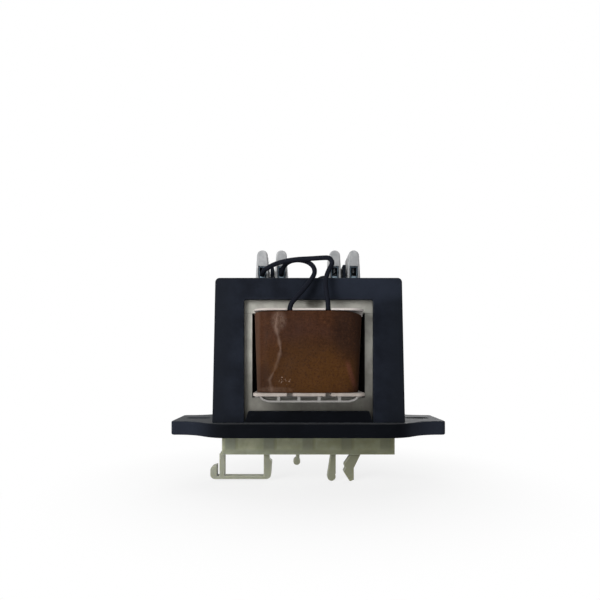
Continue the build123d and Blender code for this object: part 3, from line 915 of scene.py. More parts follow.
@dataclass(frozen=True)
class VarnishedPaper:
    """Brown coil paper under a coat of varnish, fibrous, mottled and creased, with painted shade,
    sheen and highlights.

    Attributes:
        umber: the darker of its two main colours, also laid on as painted shade towards the left.
        brown: the lighter one.
        amber: the colour where the varnish has pooled.
        painted_grey_sheen: the colour of a painted grey sheen above that.
        dusk: the colour of the parts that lie in shade.
        red: the colour of a painted highlight along the lower right edge.
        fleck: the colour of light fibres.
        worn: the colour of cracked varnish, also laid on as painted highlights, glints and sheen.
        speck: the colour of dirt.
    """

    umber: Colour = tone(50, 27, 14)
    brown: Colour = tone(73, 43, 25)
    amber: Colour = tone(79, 49, 14)
    painted_grey_sheen: Colour = tone(62, 38, 30)
    dusk: Colour = tone(26, 14, 10)
    red: Colour = tone(100, 57, 45)
    fleck: Colour = tone(98, 65, 38)
    worn: Colour = tone(158, 134, 120)
    speck: Colour = tone(22, 13, 7)

    def material(self) -> bpy.types.Material:
        """Builds the finish.

        Returns:
            The material.
        """
        graph = ShaderGraph("varnished_paper")
        x, _, z = graph.axes()
        mottle = graph.noise(size=2.2, detail=5.0, roughness=0.66)
        pools = graph.noise(size=8.0, detail=3.0, shift=11.0)
        blots = graph.noise(size=0.9, detail=3.0, roughness=0.6, shift=17.0)
        fibre = graph.noise(0.22, detail=3.0, roughness=0.6, stretch=(1.0, 1.0, 6.0), shift=2.0)
        across = graph.noise(size=0.26, roughness=0.55, stretch=(6.0, 6.0, 1.0), shift=8.0)
        crinkle = graph.noise(1.3, detail=4.0, roughness=0.55, stretch=(1.0, 1.0, 1.8), shift=14.0)
        specks = graph.smooth(graph.noise(size=0.6, shift=9.0), 0.62, 0.74)
        lint = graph.noise(size=1.0, detail=3.0, roughness=0.65, shift=31.0)
        flecks = graph.smooth(lint, 0.50, 0.74)
        dots = graph.smooth(graph.noise(size=0.7, detail=1.0, shift=21.0), 0.62, 0.70)

        amber = graph.patch((0.0, 29.0), (24.0, 13.0), soft=0.85) * graph.smooth(pools, 0.1, 0.45)
        # painted sheen: a greyer patch over the upper middle of the paper
        painted_grey_sheen = graph.patch((-3.0, 44.5), (13.0, 7.0), soft=0.9) * graph.smooth(pools, 0.2, 0.6)
        dusk = graph.patch((18.0, 46.0), (8.0, 12.5), soft=0.85)
        dusk = dusk.peak(graph.smooth(x, 18.5, 22.5))
        dusk = dusk.peak(graph.patch((-19.4, 25.5), (3.6, 7.0), soft=0.9) * 0.8)
        # painted sheen: a pale patch at the top left, beside the crease
        fuzz = graph.smooth(blots * 0.5 + fibre * 0.6, 0.25, 0.95)
        painted_top_sheen = graph.patch((-12.9, 50.8), (2.9, 3.8), soft=1.0) * fuzz
        # painted highlight: paler glints along the bottom left
        painted_hem_glint = graph.patch((-14.5, 21.2), (6.5, 1.2), soft=0.9) * graph.smooth(mottle, 0.2, 0.8)
        # painted highlight: a reddish band along the lower right edge
        slope = ((x - 18.0) + (z - 28.0) * 0.32).size()
        ends = graph.smooth((z - 27.5).size(), 3.0, 7.5)
        painted_edge_highlight = (1 - graph.smooth(slope, 0.2, 1.8)) * (1 - ends)
        # painted shade: darker towards the left
        left = graph.smooth(0 - x, 9.0, 20.0)
        # painted highlight along the bend of the left edge
        turn = graph.smooth(0 - x, 20.4, 21.8)
        glints = graph.patch((-10.4, 25.4), (2.4, 2.0), soft=0.6) * dots
        # cracked varnish along the creases, with the highlight there painted in too
        fold = graph.layer(FOLD_LAYER) * graph.smooth(crinkle + mottle, 0.45, 1.1)

        colour = graph.coats(
            self.umber,
            (graph.smooth(mottle, 0.28, 0.7), self.brown),
            (painted_grey_sheen * 0.55, self.painted_grey_sheen),
            (amber * 0.8, self.amber),
            (left * 0.42, self.umber),
            (dusk * 0.74, self.dusk),
            (graph.smooth(blots, 0.48, 0.66) * 0.55 + fibre * 0.2, self.umber),
            (flecks * 0.2, self.fleck),
            (graph.layer(PRESS_LAYER) * 0.3, self.dusk),
            (painted_edge_highlight * 0.55, self.red),
            (across * 0.04 + turn * 0.08 + painted_hem_glint * 0.2 + painted_top_sheen * 0.42, self.worn),
            (specks * 0.55, self.speck),
            (fold * 0.4 + glints * 0.7, self.worn),
        )
        return graph.surface(
            {
                "Base Color": colour,
                "Roughness": 0.38 + mottle * 0.20 + fold * 0.1,
                "Specular IOR Level": 0.03,
                "Coat Weight": graph.smooth(pools, 0.35, 0.65) * 0.02,
                "Coat Roughness": 0.2,
                "Normal": graph.bump(fibre + across, 0.012, under=graph.bump(crinkle, 0.07)),
            }
        )


@dataclass(frozen=True)
class LeadSleeve:
    """Dark insulation of the leads, drawn smooth and lightly scuffed."""

    body: Colour = tone(22, 24, 31)
    rubbed: Colour = tone(41, 43, 52)

    def material(self) -> bpy.types.Material:
        """Builds the finish.

        Returns:
            The material.
        """
        graph = ShaderGraph("lead_sleeve")
        clouds = graph.noise(size=3.0, detail=3.0, roughness=0.6)
        rubs = graph.noise(size=0.6, detail=3.0, roughness=0.65, shift=5.0)
        scuffs = graph.smooth(rubs, 0.56, 0.78)
        skin = graph.noise(size=0.18, shift=1.0)
        return graph.surface(
            {
                "Base Color": graph.coats(self.body, (clouds * 0.35 + scuffs * 0.3, self.rubbed)),
                "Roughness": 0.48 + scuffs * 0.2,
                "Specular IOR Level": 0.01,
                "Normal": graph.bump(skin, depth=0.008),
            }
        )


@dataclass(frozen=True)
class ClearNylon:
    """Frosted clear nylon of the terminals."""

    body: Colour = tone(186, 187, 188)
    milky: Colour = tone(164, 166, 168)

    def material(self) -> bpy.types.Material:
        """Builds the finish.

        Returns:
            The material.
        """
        graph = ShaderGraph("clear_nylon")
        clouds = graph.noise(size=2.2, detail=4.0, roughness=0.6)
        flow = graph.noise(0.5, detail=3.0, roughness=0.55, stretch=(1.0, 1.0, 6.0), shift=3.0)
        return graph.surface(
            {
                "Base Color": graph.coats(self.body, (graph.smooth(clouds, 0.3, 0.7), self.milky)),
                "Roughness": 0.32 + flow * 0.16 + graph.edges() * 0.06,
                "IOR": 1.46,
                "Transmission Weight": 0.15,
                "Normal": graph.bump(flow, depth=0.012),
            }
        )


@dataclass(frozen=True)
class NaturalNylon:
    """Uncoloured nylon of the clip, pale yellow-green and slightly see-through, with painted shade
    on its lower parts and towards the right.

    Attributes:
        body: its main colour.
        deep: the deeper colour that it clouds into.
        grey: the greyer colour of the parts below the plate, darkened as painted shade.
        shade: the colour of the posts and of the plate's edge.
        olive: the colour of painted shade beside the posts and towards the right.
        rubbed: the colour of rubbed edges.
        post_pitch: distance from post to post.
        post_half: half the width of a post.
        plate: heights of the plate's lower and upper face.
    """

    body: Colour = tone(190, 193, 166)
    deep: Colour = tone(166, 168, 140)
    grey: Colour = tone(150, 151, 139)
    shade: Colour = tone(132, 137, 126)
    olive: Colour = tone(118, 118, 88)
    rubbed: Colour = tone(192, 193, 176)
    post_pitch: float = 18.25
    post_half: float = 2.9
    plate: tuple[float, float] = (-10.5, -8.6)

    def material(self) -> bpy.types.Material:
        """Builds the finish.

        Returns:
            The material.
        """
        graph = ShaderGraph("natural_nylon")
        clouds = graph.noise(size=6.0, detail=4.0, roughness=0.6)
        flow = graph.noise(size=0.9, detail=3.0, stretch=(8.0, 1.0, 1.0), shift=4.0)
        grain = graph.noise(size=0.3, shift=8.0)
        x, _, z = graph.axes()
        half = self.post_pitch / 2
        bottom, top = self.plate
        above = graph.smooth(z, top - 0.6, top + 1.2)
        post = 1 - graph.smooth(x.fold_back(half), self.post_half - 0.9, self.post_half + 0.3)
        side = 1 - graph.smooth((x - self.post_half).fold_back(half), 0.3, 1.1)
        feet = 1 - graph.smooth(z, bottom - 0.6, bottom + 0.2)
        colour = graph.coats(
            self.body,
            (graph.smooth(clouds, 0.3, 0.7), self.deep),
            (post * above * 0.65, self.shade),
            (side * above * 0.35, self.olive),
            # painted shade: the parts below the plate greyer and darker
            (feet * 0.8, self.grey),
            ((1 - feet) * (1 - above) * 0.5, self.shade),
            # painted shade: darker towards the right
            (graph.smooth(x, -30.0, 30.0) * 0.52, self.olive),
            (graph.edges() * 0.4, self.rubbed),
        )
        return graph.surface(
            {
                "Base Color": colour,
                "Roughness": 0.42 + flow * 0.16,
                "Specular IOR Level": 0.12,
                "Subsurface Weight": 0.45,
                "Subsurface Radius": (1.0, 0.95, 0.6),
                "Subsurface Scale": 0.0018,
                "Normal": graph.bump(grain, 0.008, under=graph.bump(flow, 0.012)),
            }
        )


@dataclass(frozen=True)
class PlatedMetal:
    """Plated metal with a drawn grain and a patchy passivation.

    Attributes:
        name: name of the material.
        body: its main colour.
        patch: the colour of its patches.
        shine: its roughness where it is brightest.
    """

    name: str
    body: Colour
    patch: Colour
    shine: float

    def material(self) -> bpy.types.Material:
        """Builds the finish.

        Returns:
            The material.
        """
        graph = ShaderGraph(self.name)
        clouds = graph.noise(size=1.6, detail=4.0, roughness=0.6)
        drawn = graph.noise(0.08, detail=3.0, roughness=0.6, stretch=(1.0, 30.0, 1.0), shift=3.0)
        dabs = graph.noise(size=0.5, detail=3.0, roughness=0.6, shift=6.0)
        spots = graph.smooth(dabs, 0.6, 0.8)
        return graph.surface(
            {
                "Base Color": graph.coats(self.body, (graph.smooth(clouds, 0.3, 0.7), self.patch)),
                "Metallic": 1.0 - spots * 0.25,
                "Roughness": self.shine + drawn * 0.14 + spots * 0.2,
                "Normal": graph.bump(drawn, depth=0.004),
            }
        )


@dataclass(frozen=True)
class BarrierPaper:
    """Plain buff paper between the windings."""

    body: Colour = tone(214, 198, 160)
    fibre: Colour = tone(188, 168, 126)

    def material(self) -> bpy.types.Material:
        """Builds the finish.

        Returns:
            The material.
        """
        graph = ShaderGraph("barrier_paper")
        fibre = graph.noise(size=0.2, detail=3.0, roughness=0.6, stretch=(7.0, 7.0, 1.0))
        clouds = graph.noise(size=3.0, detail=4.0, roughness=0.6, shift=4.0)
        return graph.surface(
            {
                "Base Color": graph.coats(self.body, (fibre * 0.6 + clouds * 0.3, self.fibre)),
                "Roughness": 0.7 + clouds * 0.2,
                "Normal": graph.bump(fibre, depth=0.02),
            }
        )


class Palette:
    """Every finish of the object, built once."""

    def __init__(self) -> None:
        """Builds the materials."""
        self.cover = HousingPlastic(
            name="cover_plastic",
            body=tone(22, 25, 32),
            cloud=tone(31, 35, 44),
            ends=tone(25, 28, 34),
            reach=(29.0, 44.0),
            shelf=70.2,
            # painted sheen on the upper right of the cover
            painted_sheen=tone(41, 46, 57),
            painted_sheen_at=((25.0, 66.0), (20.0, 6.0)),
        ).material()
        self.base = HousingPlastic(
            name="base_plastic",
            body=tone(9, 11, 15),
            cloud=tone(13, 15, 20),
            ends=tone(34, 38, 47),
            reach=(38.0, 54.0),
            shelf=6.3,
            # painted sheen on the front of the right ear
            painted_sheen=tone(40, 44, 53),
            painted_sheen_at=((54.0, 3.0), (9.0, 6.0)),
        ).material()
        self.core = CoreSheet().material()
        self.bobbin = BobbinNylon().material()
        self.paper = VarnishedPaper().material()
        self.sleeve = LeadSleeve().material()
        self.clear = ClearNylon().material()
        self.nylon = NaturalNylon().material()
        self.barrier = BarrierPaper().material()
        self.zinc = PlatedMetal(
            name="zinc_steel",
            body=tone(176, 180, 186),
            patch=tone(148, 150, 152),
            shine=0.26,
        ).material()
        self.cage = PlatedMetal(
            name="dull_zinc",
            body=tone(72, 83, 92),
            patch=tone(46, 54, 61),
            shine=0.36,
        ).material()
        # tin-grey plating, darkened as painted shade for the bars inside the shells
        self.brass = PlatedMetal(
            name="plated_brass",
            body=tone(120, 136, 146),
            patch=tone(86, 98, 108),
            shine=0.30,
        ).material()
        self.tin = PlatedMetal(
            name="tinned_wire",
            body=tone(204, 204, 200),
            patch=tone(180, 180, 178),
            shine=0.24,
        ).material()
        self.enamel = PlatedMetal(
            name="enamelled_wire",
            body=tone(184, 104, 62),
            patch=tone(150, 78, 46),
            shine=0.22,
        ).material()


@dataclass
class Bench:
    """Takes finished meshes into the scene and ties each one to the object."""

    body: str = "root"

    def place(
        self,
        name: str,
        data: bpy.types.Mesh | bpy.types.Curve,
        material: bpy.types.Material,
        slot: str,
        nodes: Sequence[str],
    ) -> bpy.types.Object:
        """Adds a piece.

        Args:
            name: the piece's name.
            data: its mesh or curve, in place.
            material: its finish.
            slot: the record's material slot for it; not used.
            nodes: the nodes that it stands for.

        Returns:
            The piece.
        """
        piece = bpy.data.objects.new(name, data)
        bpy.context.scene.collection.objects.link(piece)
        data.materials.clear()
        data.materials.append(material)
        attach(piece, self.body)
        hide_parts(*nodes)
        log.info("%s stands for %s", name, ", ".join(nodes))
        return piece

    def dress(self, node: str, material: bpy.types.Material) -> None:
        """Gives a node that stays its finish.

        Args:
            node: the node's name.
            material: its finish.
        """
        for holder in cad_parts[node].material_slots:
            holder.material = material
        log.info("%s is dressed", node)


@dataclass
class Housing:
    """Base plate and cover frame, the two dark mouldings."""

    base_edge: float = 0.18
    cover_edge: float = 0.28

    def build(self, bench: Bench, palette: Palette) -> None:
        """Adds both mouldings.

        Args:
            bench: takes the finished pieces.
            palette: the finishes.
        """
        base = SoftEdges(self.base_edge).copy("base_plate")
        bench.place("base_moulding", base, palette.base, "housing_black", ["base_plate"])
        cover = SoftEdges(self.cover_edge).copy("cover_frame")
        bench.place("cover_moulding", cover, palette.cover, "housing_black", ["cover_frame"])


@dataclass
class Core:
    """The two piles of core sheets, sheet by sheet.

    Attributes:
        leg: half the width of the centre leg, which is also the width of an outer leg.
        sheet: distance from sheet to sheet.
        air: gap between two sheets.
        burr: width of a sheet's broken edge.
        shake: how far a sheet may lie off its place.
        seed: seed of those places.
    """

    leg: float = 12.5
    sheet: float = 0.5
    air: float = 0.02
    burr: float = 0.05
    shake: float = 0.05
    seed: int = 5

    def build(self, bench: Bench, palette: Palette) -> None:
        """Adds both piles.

        Args:
            bench: takes the finished pieces.
            palette: the finishes.
        """
        low, high = (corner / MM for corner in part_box("core_e_stack"))
        near, far = self.leg, 2 * self.leg
        half = high.x
        floor = low.z + self.leg
        right = [(half, low.z), (half, high.z), (far, high.z)]
        right += [(far, floor), (near, floor), (near, high.z)]
        left = [(-x, z) for x, z in reversed(right)]
        e_sheet = [left[-1], *right, *left[:-1]]
        self._pile(bench, palette, "core_e_sheets", "core_e_stack", e_sheet)
        low, high = (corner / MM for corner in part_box("core_i_stack"))
        i_sheet = [(low.x, low.z), (high.x, low.z), (high.x, high.z), (low.x, high.z)]
        self._pile(bench, palette, "core_i_sheets", "core_i_stack", i_sheet)

    def _pile(self, bench: Bench, palette: Palette, name: str, node: str, outline: Outline) -> None:
        """Repeats one sheet through the depth of a pile.

        Args:
            bench: takes the finished pile.
            palette: the finishes.
            name: the piece's name.
            node: the node that it stands for.
            outline: the sheet's outline in X and Z, in millimetres.
        """
        low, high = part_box(node)
        count = round((high.y - low.y) / (self.sheet * MM))
        sheet = prism(outline, self.sheet - self.air, self.burr, name)
        graph = GeometryGraph(name)
        pitch = graph.size("Sheet pitch", "Float", self.sheet * MM)
        number = graph.size("Sheets", "Int", count)
        first = graph.size("First sheet", "Float", low.y + self.sheet * MM / 2)
        shake = graph.size("Shake", "Float", self.shake * MM)
        seed = graph.size("Seed", "Int", self.seed)
        row = graph.row(number, graph.vector(Y=first), graph.vector(Y=pitch))
        least = graph.vector(X=0 - shake, Z=0 - shake)
        most = graph.vector(X=shake)
        random = {0: least, 1: most, "Seed": seed}
        nudge = graph.add("FunctionNodeRandomValue", {"data_type": "FLOAT_VECTOR"}, random)
        row = graph.add("GeometryNodeSetPosition", sockets={"Geometry": row, "Offset": nudge})
        mesh = graph.make(graph.spread(row, graph.shape()), palette.core, sheet)
        bench.place(name, mesh, palette.core, "core_sheet", [node])


class CoilEnd(Enum):
    """The two bare ends of the coil."""

    FRONT = -1
    REAR = 1


@dataclass(frozen=True)
class Crease:
    """A crease in the coil paper, with the paper pressed in on one side of it.

    Attributes:
        end: the end of the coil that it is on.
        line: its points, X and Z in millimetres.
        press: how deep the paper is pressed in.
        reach: how far from the crease it is pressed in deepest.
        ridge: how far the crease itself stands out.
        side: the pressed side, 1 towards +X and -1 towards -X.
        ridge_half: half the width of the ridge.
    """

    end: CoilEnd
    line: Outline
    press: float
    reach: float
    ridge: float
    side: int = 1
    ridge_half: float = 0.9

    def away(self, x: np.ndarray, z: np.ndarray) -> np.ndarray:
        """Distance across from the crease, above zero on its pressed side.

        Args:
            x: places across the coil.
            z: heights of the places.

        Returns:
            The distance of each place in millimetres.
        """
        heights = np.array([point[1] for point in self.line])
        places = np.array([point[0] for point in self.line])
        order = np.argsort(heights)
        return self.side * (x - np.interp(z, heights[order], places[order]))

    def height(self, x: np.ndarray, z: np.ndarray) -> np.ndarray:
        """How far the paper stands out, in millimetres.

        Args:
            x: places across the coil.
            z: heights of the places.

        Returns:
            The rise of each place, below zero where it is pressed in.
        """
        away = self.away(x, z)
        beyond = np.clip(away, 0.0, None) / self.reach
        pressed = self.press * beyond * np.exp(1.0 - beyond)
        return self.ridge * np.exp(-((away / self.ridge_half) ** 2)) - pressed


@dataclass(frozen=True)
class Valley:
    """A shallow trough across the coil paper between two points.

    Attributes:
        end: the end of the coil that it is on.
        start: its first point, X and Z in millimetres.
        stop: its last point.
        depth: how deep it is.
        width: half its width.
    """

    end: CoilEnd
    start: tuple[float, float]
    stop: tuple[float, float]
    depth: float
    width: float

    def height(self, x: np.ndarray, z: np.ndarray) -> np.ndarray:
        """How far the paper stands out, below zero along the trough.

        Args:
            x: places across the coil.
            z: heights of the places.

        Returns:
            The rise of each place, in millimetres.
        """
        run = np.array(self.stop) - np.array(self.start)
        share = ((x - self.start[0]) * run[0] + (z - self.start[1]) * run[1]) / (run @ run)
        nearest = np.clip(share, 0.0, 1.0)
        away = np.hypot(x - self.start[0] - nearest * run[0], z - self.start[1] - nearest * run[1])
        return -self.depth * np.exp(-((away / self.width) ** 2))


@dataclass
class Coil:
    """Bobbin, windings and the varnished paper round them.

    Attributes:
        foot: half width and half depth of the paper at its foot.
        top: the same at its top.
        bulge: how far the two ends bulge.
        corner: radius of the corners.
        steps: points along the bulge, the corner and the side of each quarter.
        slack: how far the right side falls in, at the foot and at the top.
        slack_from: places between which it sets in.
        facing: how squarely a place faces front or rear before the folds show on it.
        sag: how far the top edge hangs, everywhere, at the corners and to the right.
        sag_corner: distances from the middle between which the corners' sag sets in.
        sag_right: places between which the right side's sag sets in.
        lift: how far the foot stands up, its waviness and how close the waves are.
        grip: how fast the folds grow from both rims, and their shares at foot and top.
        lining: how far the inner face lies inside the outer one, at both rims.
        rows: rows of points from foot to top.
        crisp: angle from which the shading of two faces stays apart, in degrees.
        crack_and_highlight: half the width of the cracked varnish and painted highlight along a
            crease.
        crack_and_highlight_wobble: its mean, its swing and how fast and slowly it swings.
        crack_and_highlight_strength: heights, and how strongly the varnish has cracked and the
            highlight is painted there.
        deepest: depth at which the paper counts as fully pressed in.
        waves: number of slight waves over the paper.
        wave_length: shortest and longest of them.
        wave_height: height of a wave as a share of its length.
        seed: seed of the waves.
        flange_edge: width of the bobbin's broken edges.
        wire: distance from turn to turn of the wire.
        wire_fill: share of it that the wire takes.
        wire_sides: number of sides of the wire.
        wire_inset: how far inside the paper the wire runs.
        wire_corner: faces along a corner of a turn.
        folds: the creases and troughs of the paper.
    """

    foot: tuple[float, float] = (22.65, 29.7)
    top: tuple[float, float] = (23.65, 31.0)
    bulge: float = 2.2
    corner: float = 7.0
    steps: tuple[int, int, int] = (72, 18, 20)
    slack: tuple[float, float] = (0.9, 0.5)
    slack_from: tuple[float, float] = (6.0, 22.0)
    facing: tuple[float, float] = (0.35, 0.85)
    sag: tuple[float, float, float] = (0.12, 0.8, 1.0)
    sag_corner: tuple[float, float] = (15.0, 23.0)
    sag_right: tuple[float, float] = (10.0, 22.0)
    lift: tuple[float, float, float] = (0.10, 0.06, 0.9)
    grip: tuple[float, float, float] = (4.0, 0.25, 0.35)
    lining: float = 0.95
    rows: int = 84
    crisp: float = 60.0
    crack_and_highlight: float = 0.75
    crack_and_highlight_wobble: tuple[float, float, float, float] = (0.8, 0.4, 0.9, 0.37)
    crack_and_highlight_strength: tuple[Sequence[float], Sequence[float]] = (
        (20.0, 22.5, 25.4, 30.0, 35.0, 38.6, 43.8, 48.0, 51.0, 54.5),
        (0.25, 0.40, 0.55, 0.32, 0.40, 0.95, 0.60, 1.00, 0.50, 0.30),
    )
    deepest: float = 0.45
    waves: int = 26
    wave_length: tuple[float, float] = (5.0, 16.0)
    wave_height: float = 0.0022
    seed: int = 11
    flange_edge: float = 0.14
    wire: float = 0.62
    wire_fill: float = 0.97
    wire_sides: int = 8
    wire_inset: float = 1.9
    wire_corner: int = 8
    folds: tuple[Crease | Valley, ...] = (
        Crease(
            CoilEnd.FRONT,
            line=(
                (-13.2, 54.5),
                (-14.2, 48.0),
                (-13.0, 43.8),
                (-12.1, 38.6),
                (-12.8, 35.0),
                (-14.4, 30.1),
                (-16.9, 25.4),
                (-16.1, 22.4),
                (-15.9, 19.9),
            ),
            press=0.42,
            reach=4.5,
            ridge=0.14,
        ),
        Valley(CoilEnd.FRONT, start=(-12.0, 34.0), stop=(7.0, 41.0), depth=0.38, width=4.2),
        Valley(CoilEnd.FRONT, start=(13.0, 52.0), stop=(16.0, 42.0), depth=0.30, width=3.0),
        Crease(
            CoilEnd.REAR,
            line=((9.0, 54.0), (11.2, 43.0), (8.2, 32.0), (10.6, 20.0)),
            press=0.40,
            reach=4.0,
            ridge=0.12,
            side=-1,
        ),
        Valley(CoilEnd.REAR, start=(9.0, 30.0), stop=(-8.0, 37.0), depth=0.34, width=4.0),
        Crease(
            CoilEnd.REAR,
            line=((-14.0, 54.0), (-14.2, 20.0)),
            press=0.22,
            reach=0.6,
            ridge=0.10,
        ),
    )

    def build(self, bench: Bench, palette: Palette) -> None:
        """Adds the bobbin, the wire and the paper, and dresses what lies inside.

        Args:
            bench: takes the finished pieces.
            palette: the finishes.
        """
        bobbin = SoftEdges(self.flange_edge).copy("bobbin")
        bench.place("bobbin_moulding", bobbin, palette.bobbin, "bobbin_white", ["bobbin"])
        bench.place("coil_paper", self._paper(), palette.paper, "varnished_paper", ["coil_wrap"])
        turns = self._turns(palette)
        bench.place("secondary_turns", turns, palette.enamel, "winding_wire", ["secondary_winding"])
        bench.dress("primary_winding", palette.enamel)
        bench.dress("winding_barrier", palette.barrier)

    def _loop(self, half_width: float, half_depth: float) -> np.ndarray:
        """Plan of the coil, anticlockwise from the middle of the front.

        Args:
            half_width: half of its width.
            half_depth: half of its depth.

        Returns:
            Its points, X and Y in millimetres.
        """
        radius = (half_width**2 + self.bulge**2) / (2 * self.bulge)
        middle = radius - half_depth
        inner = half_width - self.corner
        turn_y = middle - math.sqrt((radius - self.corner) ** 2 - inner**2)
        meet = math.atan2(turn_y - middle, inner)
        on_front, on_turn, on_side = self.steps
        front = np.linspace(-math.pi / 2, meet, on_front, endpoint=False)
        turn = np.linspace(meet, 0.0, on_turn, endpoint=False)
        straight = np.linspace(turn_y, 0.0, on_side, endpoint=False)
        turn_x = inner + self.corner * np.cos(turn)
        quarter = np.concatenate(
            [
                np.stack([radius * np.cos(front), middle + radius * np.sin(front)], 1),
                np.stack([turn_x, turn_y + self.corner * np.sin(turn)], 1),
                np.stack([np.full_like(straight, half_width), straight], 1),
            ]
        )
        side = np.array([[half_width, 0.0]])
        rear = np.concatenate([side, quarter[:0:-1] * (1, -1)])
        half = np.concatenate([quarter, rear])
        return np.concatenate([half, -half])

    def _relief(self, x: np.ndarray, y: np.ndarray, z: np.ndarray) -> np.ndarray:
        """How far the paper stands out of the coil's plain shape.

        Args:
            x: places across the coil.
            y: places along its depth.
            z: heights of the places.

        Returns:
            The rise of each place in millimetres.
        """
        random = np.random.default_rng(self.seed)
        rise = np.zeros_like(x)
        for _ in range(self.waves):
            length = random.uniform(*self.wave_length)
            angle = random.uniform(0.0, math.pi)
            phase = random.uniform(0.0, 2 * math.pi, 2)
            along = (x * math.cos(angle) + z * math.sin(angle)) * 2 * math.pi / length
            shift = np.where(y < 0, phase[0], phase[1])
            rise += self.wave_height * length * np.sin(along + shift)
        for fold in self.folds:
            rise += np.where(y * fold.end.value > 0, fold.height(x, z), 0.0)
        return rise

    def _paper(self) -> bpy.types.Mesh:
        """The paper: a creased outer face, a plain inner one and a rim at each end.

        Returns:
            The mesh, with the cracked places, where a highlight is painted too, and the pressed
            places marked on it.
        """
        low, high = (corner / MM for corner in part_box("coil_wrap"))
        foot = self._loop(*self.foot)
        top = self._loop(*self.top)
        ahead = np.roll(foot, -1, 0) - np.roll(foot, 1, 0)
        out = np.stack([ahead[:, 1], -ahead[:, 0]], 1)
        out /= np.linalg.norm(ahead, axis=1, keepdims=True)
        facing = ramp(np.abs(out[:, 1]), *self.facing)
        facing = facing * facing * (3 - 2 * facing)
        x = foot[:, 0]
        everywhere, corners, right = self.sag
        sag = everywhere + corners * ramp(np.abs(x), *self.sag_corner) ** 2
        sag += right * ramp(x, *self.sag_right) ** 1.5
        level, waviness, closeness = self.lift
        lift = level + waviness * np.sin(x * closeness)
        growth, at_foot, at_top = self.grip
        rows = []
        for step in np.linspace(0.0, 1.0, self.rows):
            plan = foot + (top - foot) * step
            slack = self.slack[0] * (1 - step) + self.slack[1] * step
            plan[:, 0] -= slack * ramp(plan[:, 0], *self.slack_from) ** 2
            height = (low.z + lift) * (1 - step) + (high.z - sag) * step
            held = min(1.0, growth * step + at_foot, growth * (1 - step) + at_top)
            rise = self._relief(plan[:, 0], plan[:, 1], height) * facing * held
            rows.append(np.column_stack([plan + out * rise[:, None], height]))
        lining = np.column_stack([out * self.lining, np.zeros_like(x)])
        points = np.concatenate([*rows, rows[-1] - lining, rows[0] - lining]) * MM
        around = len(foot)
        rings = self.rows + 2
        faces = []
        for ring in range(rings):
            below = ring * around
            above = (ring + 1) % rings * around
            for index in range(around):
                after = (index + 1) % around
                faces.append((below + index, below + after, above + after, above + index))
        mesh = bpy.data.meshes.new("coil_paper")
        mesh.from_pydata(points.tolist(), [], faces)
        for layer, mark in ((FOLD_LAYER, self._cracks_and_highlights), (PRESS_LAYER, self._pressed)):
            values = mesh.attributes.new(layer, "FLOAT", "POINT").data
            values.foreach_set("value", mark(points / MM))
        mesh.shade_smooth()
        mesh.set_sharp_from_angle(angle=math.radians(self.crisp))
        return mesh

    def _cracks_and_highlights(self, points: np.ndarray) -> np.ndarray:
        """1 along the creases, where the varnish has cracked pale and a highlight is painted, and 0
        elsewhere.

        Args:
            points: places on the paper in millimetres.

        Returns:
            The value of each place.
        """
        x, y, z = points.T
        mean, swing, fast, slow = self.crack_and_highlight_wobble
        width = self.crack_and_highlight * (mean + swing * np.sin(fast * z + 1.0) * np.sin(slow * z))
        strength = np.interp(z, *self.crack_and_highlight_strength)
        worn = np.zeros_like(x)
        for fold in self.folds:
            if isinstance(fold, Crease):
                line = np.exp(-((fold.away(x, z) / width) ** 2)) * strength
                worn = np.maximum(worn, np.where(y * fold.end.value > 0, line, 0.0))
        return worn

    def _pressed(self, points: np.ndarray) -> np.ndarray:
        """1 where the paper is pressed in deepest, and 0 where it stands out.

        Args:
            points: places on the paper in millimetres.

        Returns:
            The value of each place.
        """
        x, y, z = points.T
        depth = np.zeros_like(x)
        for fold in self.folds:
            depth -= np.where(y * fold.end.value > 0, fold.height(x, z), 0.0)
        return np.clip(depth / self.deepest, 0.0, 1.0)

    def _turns(self, palette: Palette) -> bpy.types.Mesh:
        """Turns of wire under the paper, one above the other.

        Args:
            palette: the finishes.

        Returns:
            The mesh.
        """
        low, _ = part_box("secondary_winding")
        _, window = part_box("primary_winding")
        count = int((window.z - low.z) / (self.wire * MM))
        half_width, half_depth = self.foot
        graph = GeometryGraph("secondary_turns")
        wire = graph.size("Wire", "Float", self.wire * MM)
        number = graph.size("Turns", "Int", count)
        width = graph.size("Width", "Float", 2 * (half_width - self.wire_inset) * MM)
        depth = graph.size("Depth", "Float", 2 * (half_depth - self.wire_inset) * MM)
        corner = graph.size("Corner", "Float", self.corner * MM)
        first = graph.size("First turn", "Float", low.z + self.wire * MM / 2)
        sockets = {"Width": width, "Height": depth}
        path = graph.add("GeometryNodeCurvePrimitiveQuadrilateral", sockets=sockets)
        sockets = {"Curve": path, "Radius": corner, "Count": self.wire_corner, "Limit Radius": True}
        path = graph.add("GeometryNodeFilletCurve", {"mode": "POLY"}, sockets)
        turn = graph.rod(path, wire * (self.wire_fill / 2), self.wire_sides, capped=False)
        row = graph.row(number, graph.vector(Z=first), graph.vector(Z=wire))
        pile = graph.spread(row, turn)
        return graph.make(pile, palette.enamel, bpy.data.meshes.new("turns"))


class Drive(Enum):
    """How a screw is driven."""

    SLOT = "slot"
    CROSS = "cross"


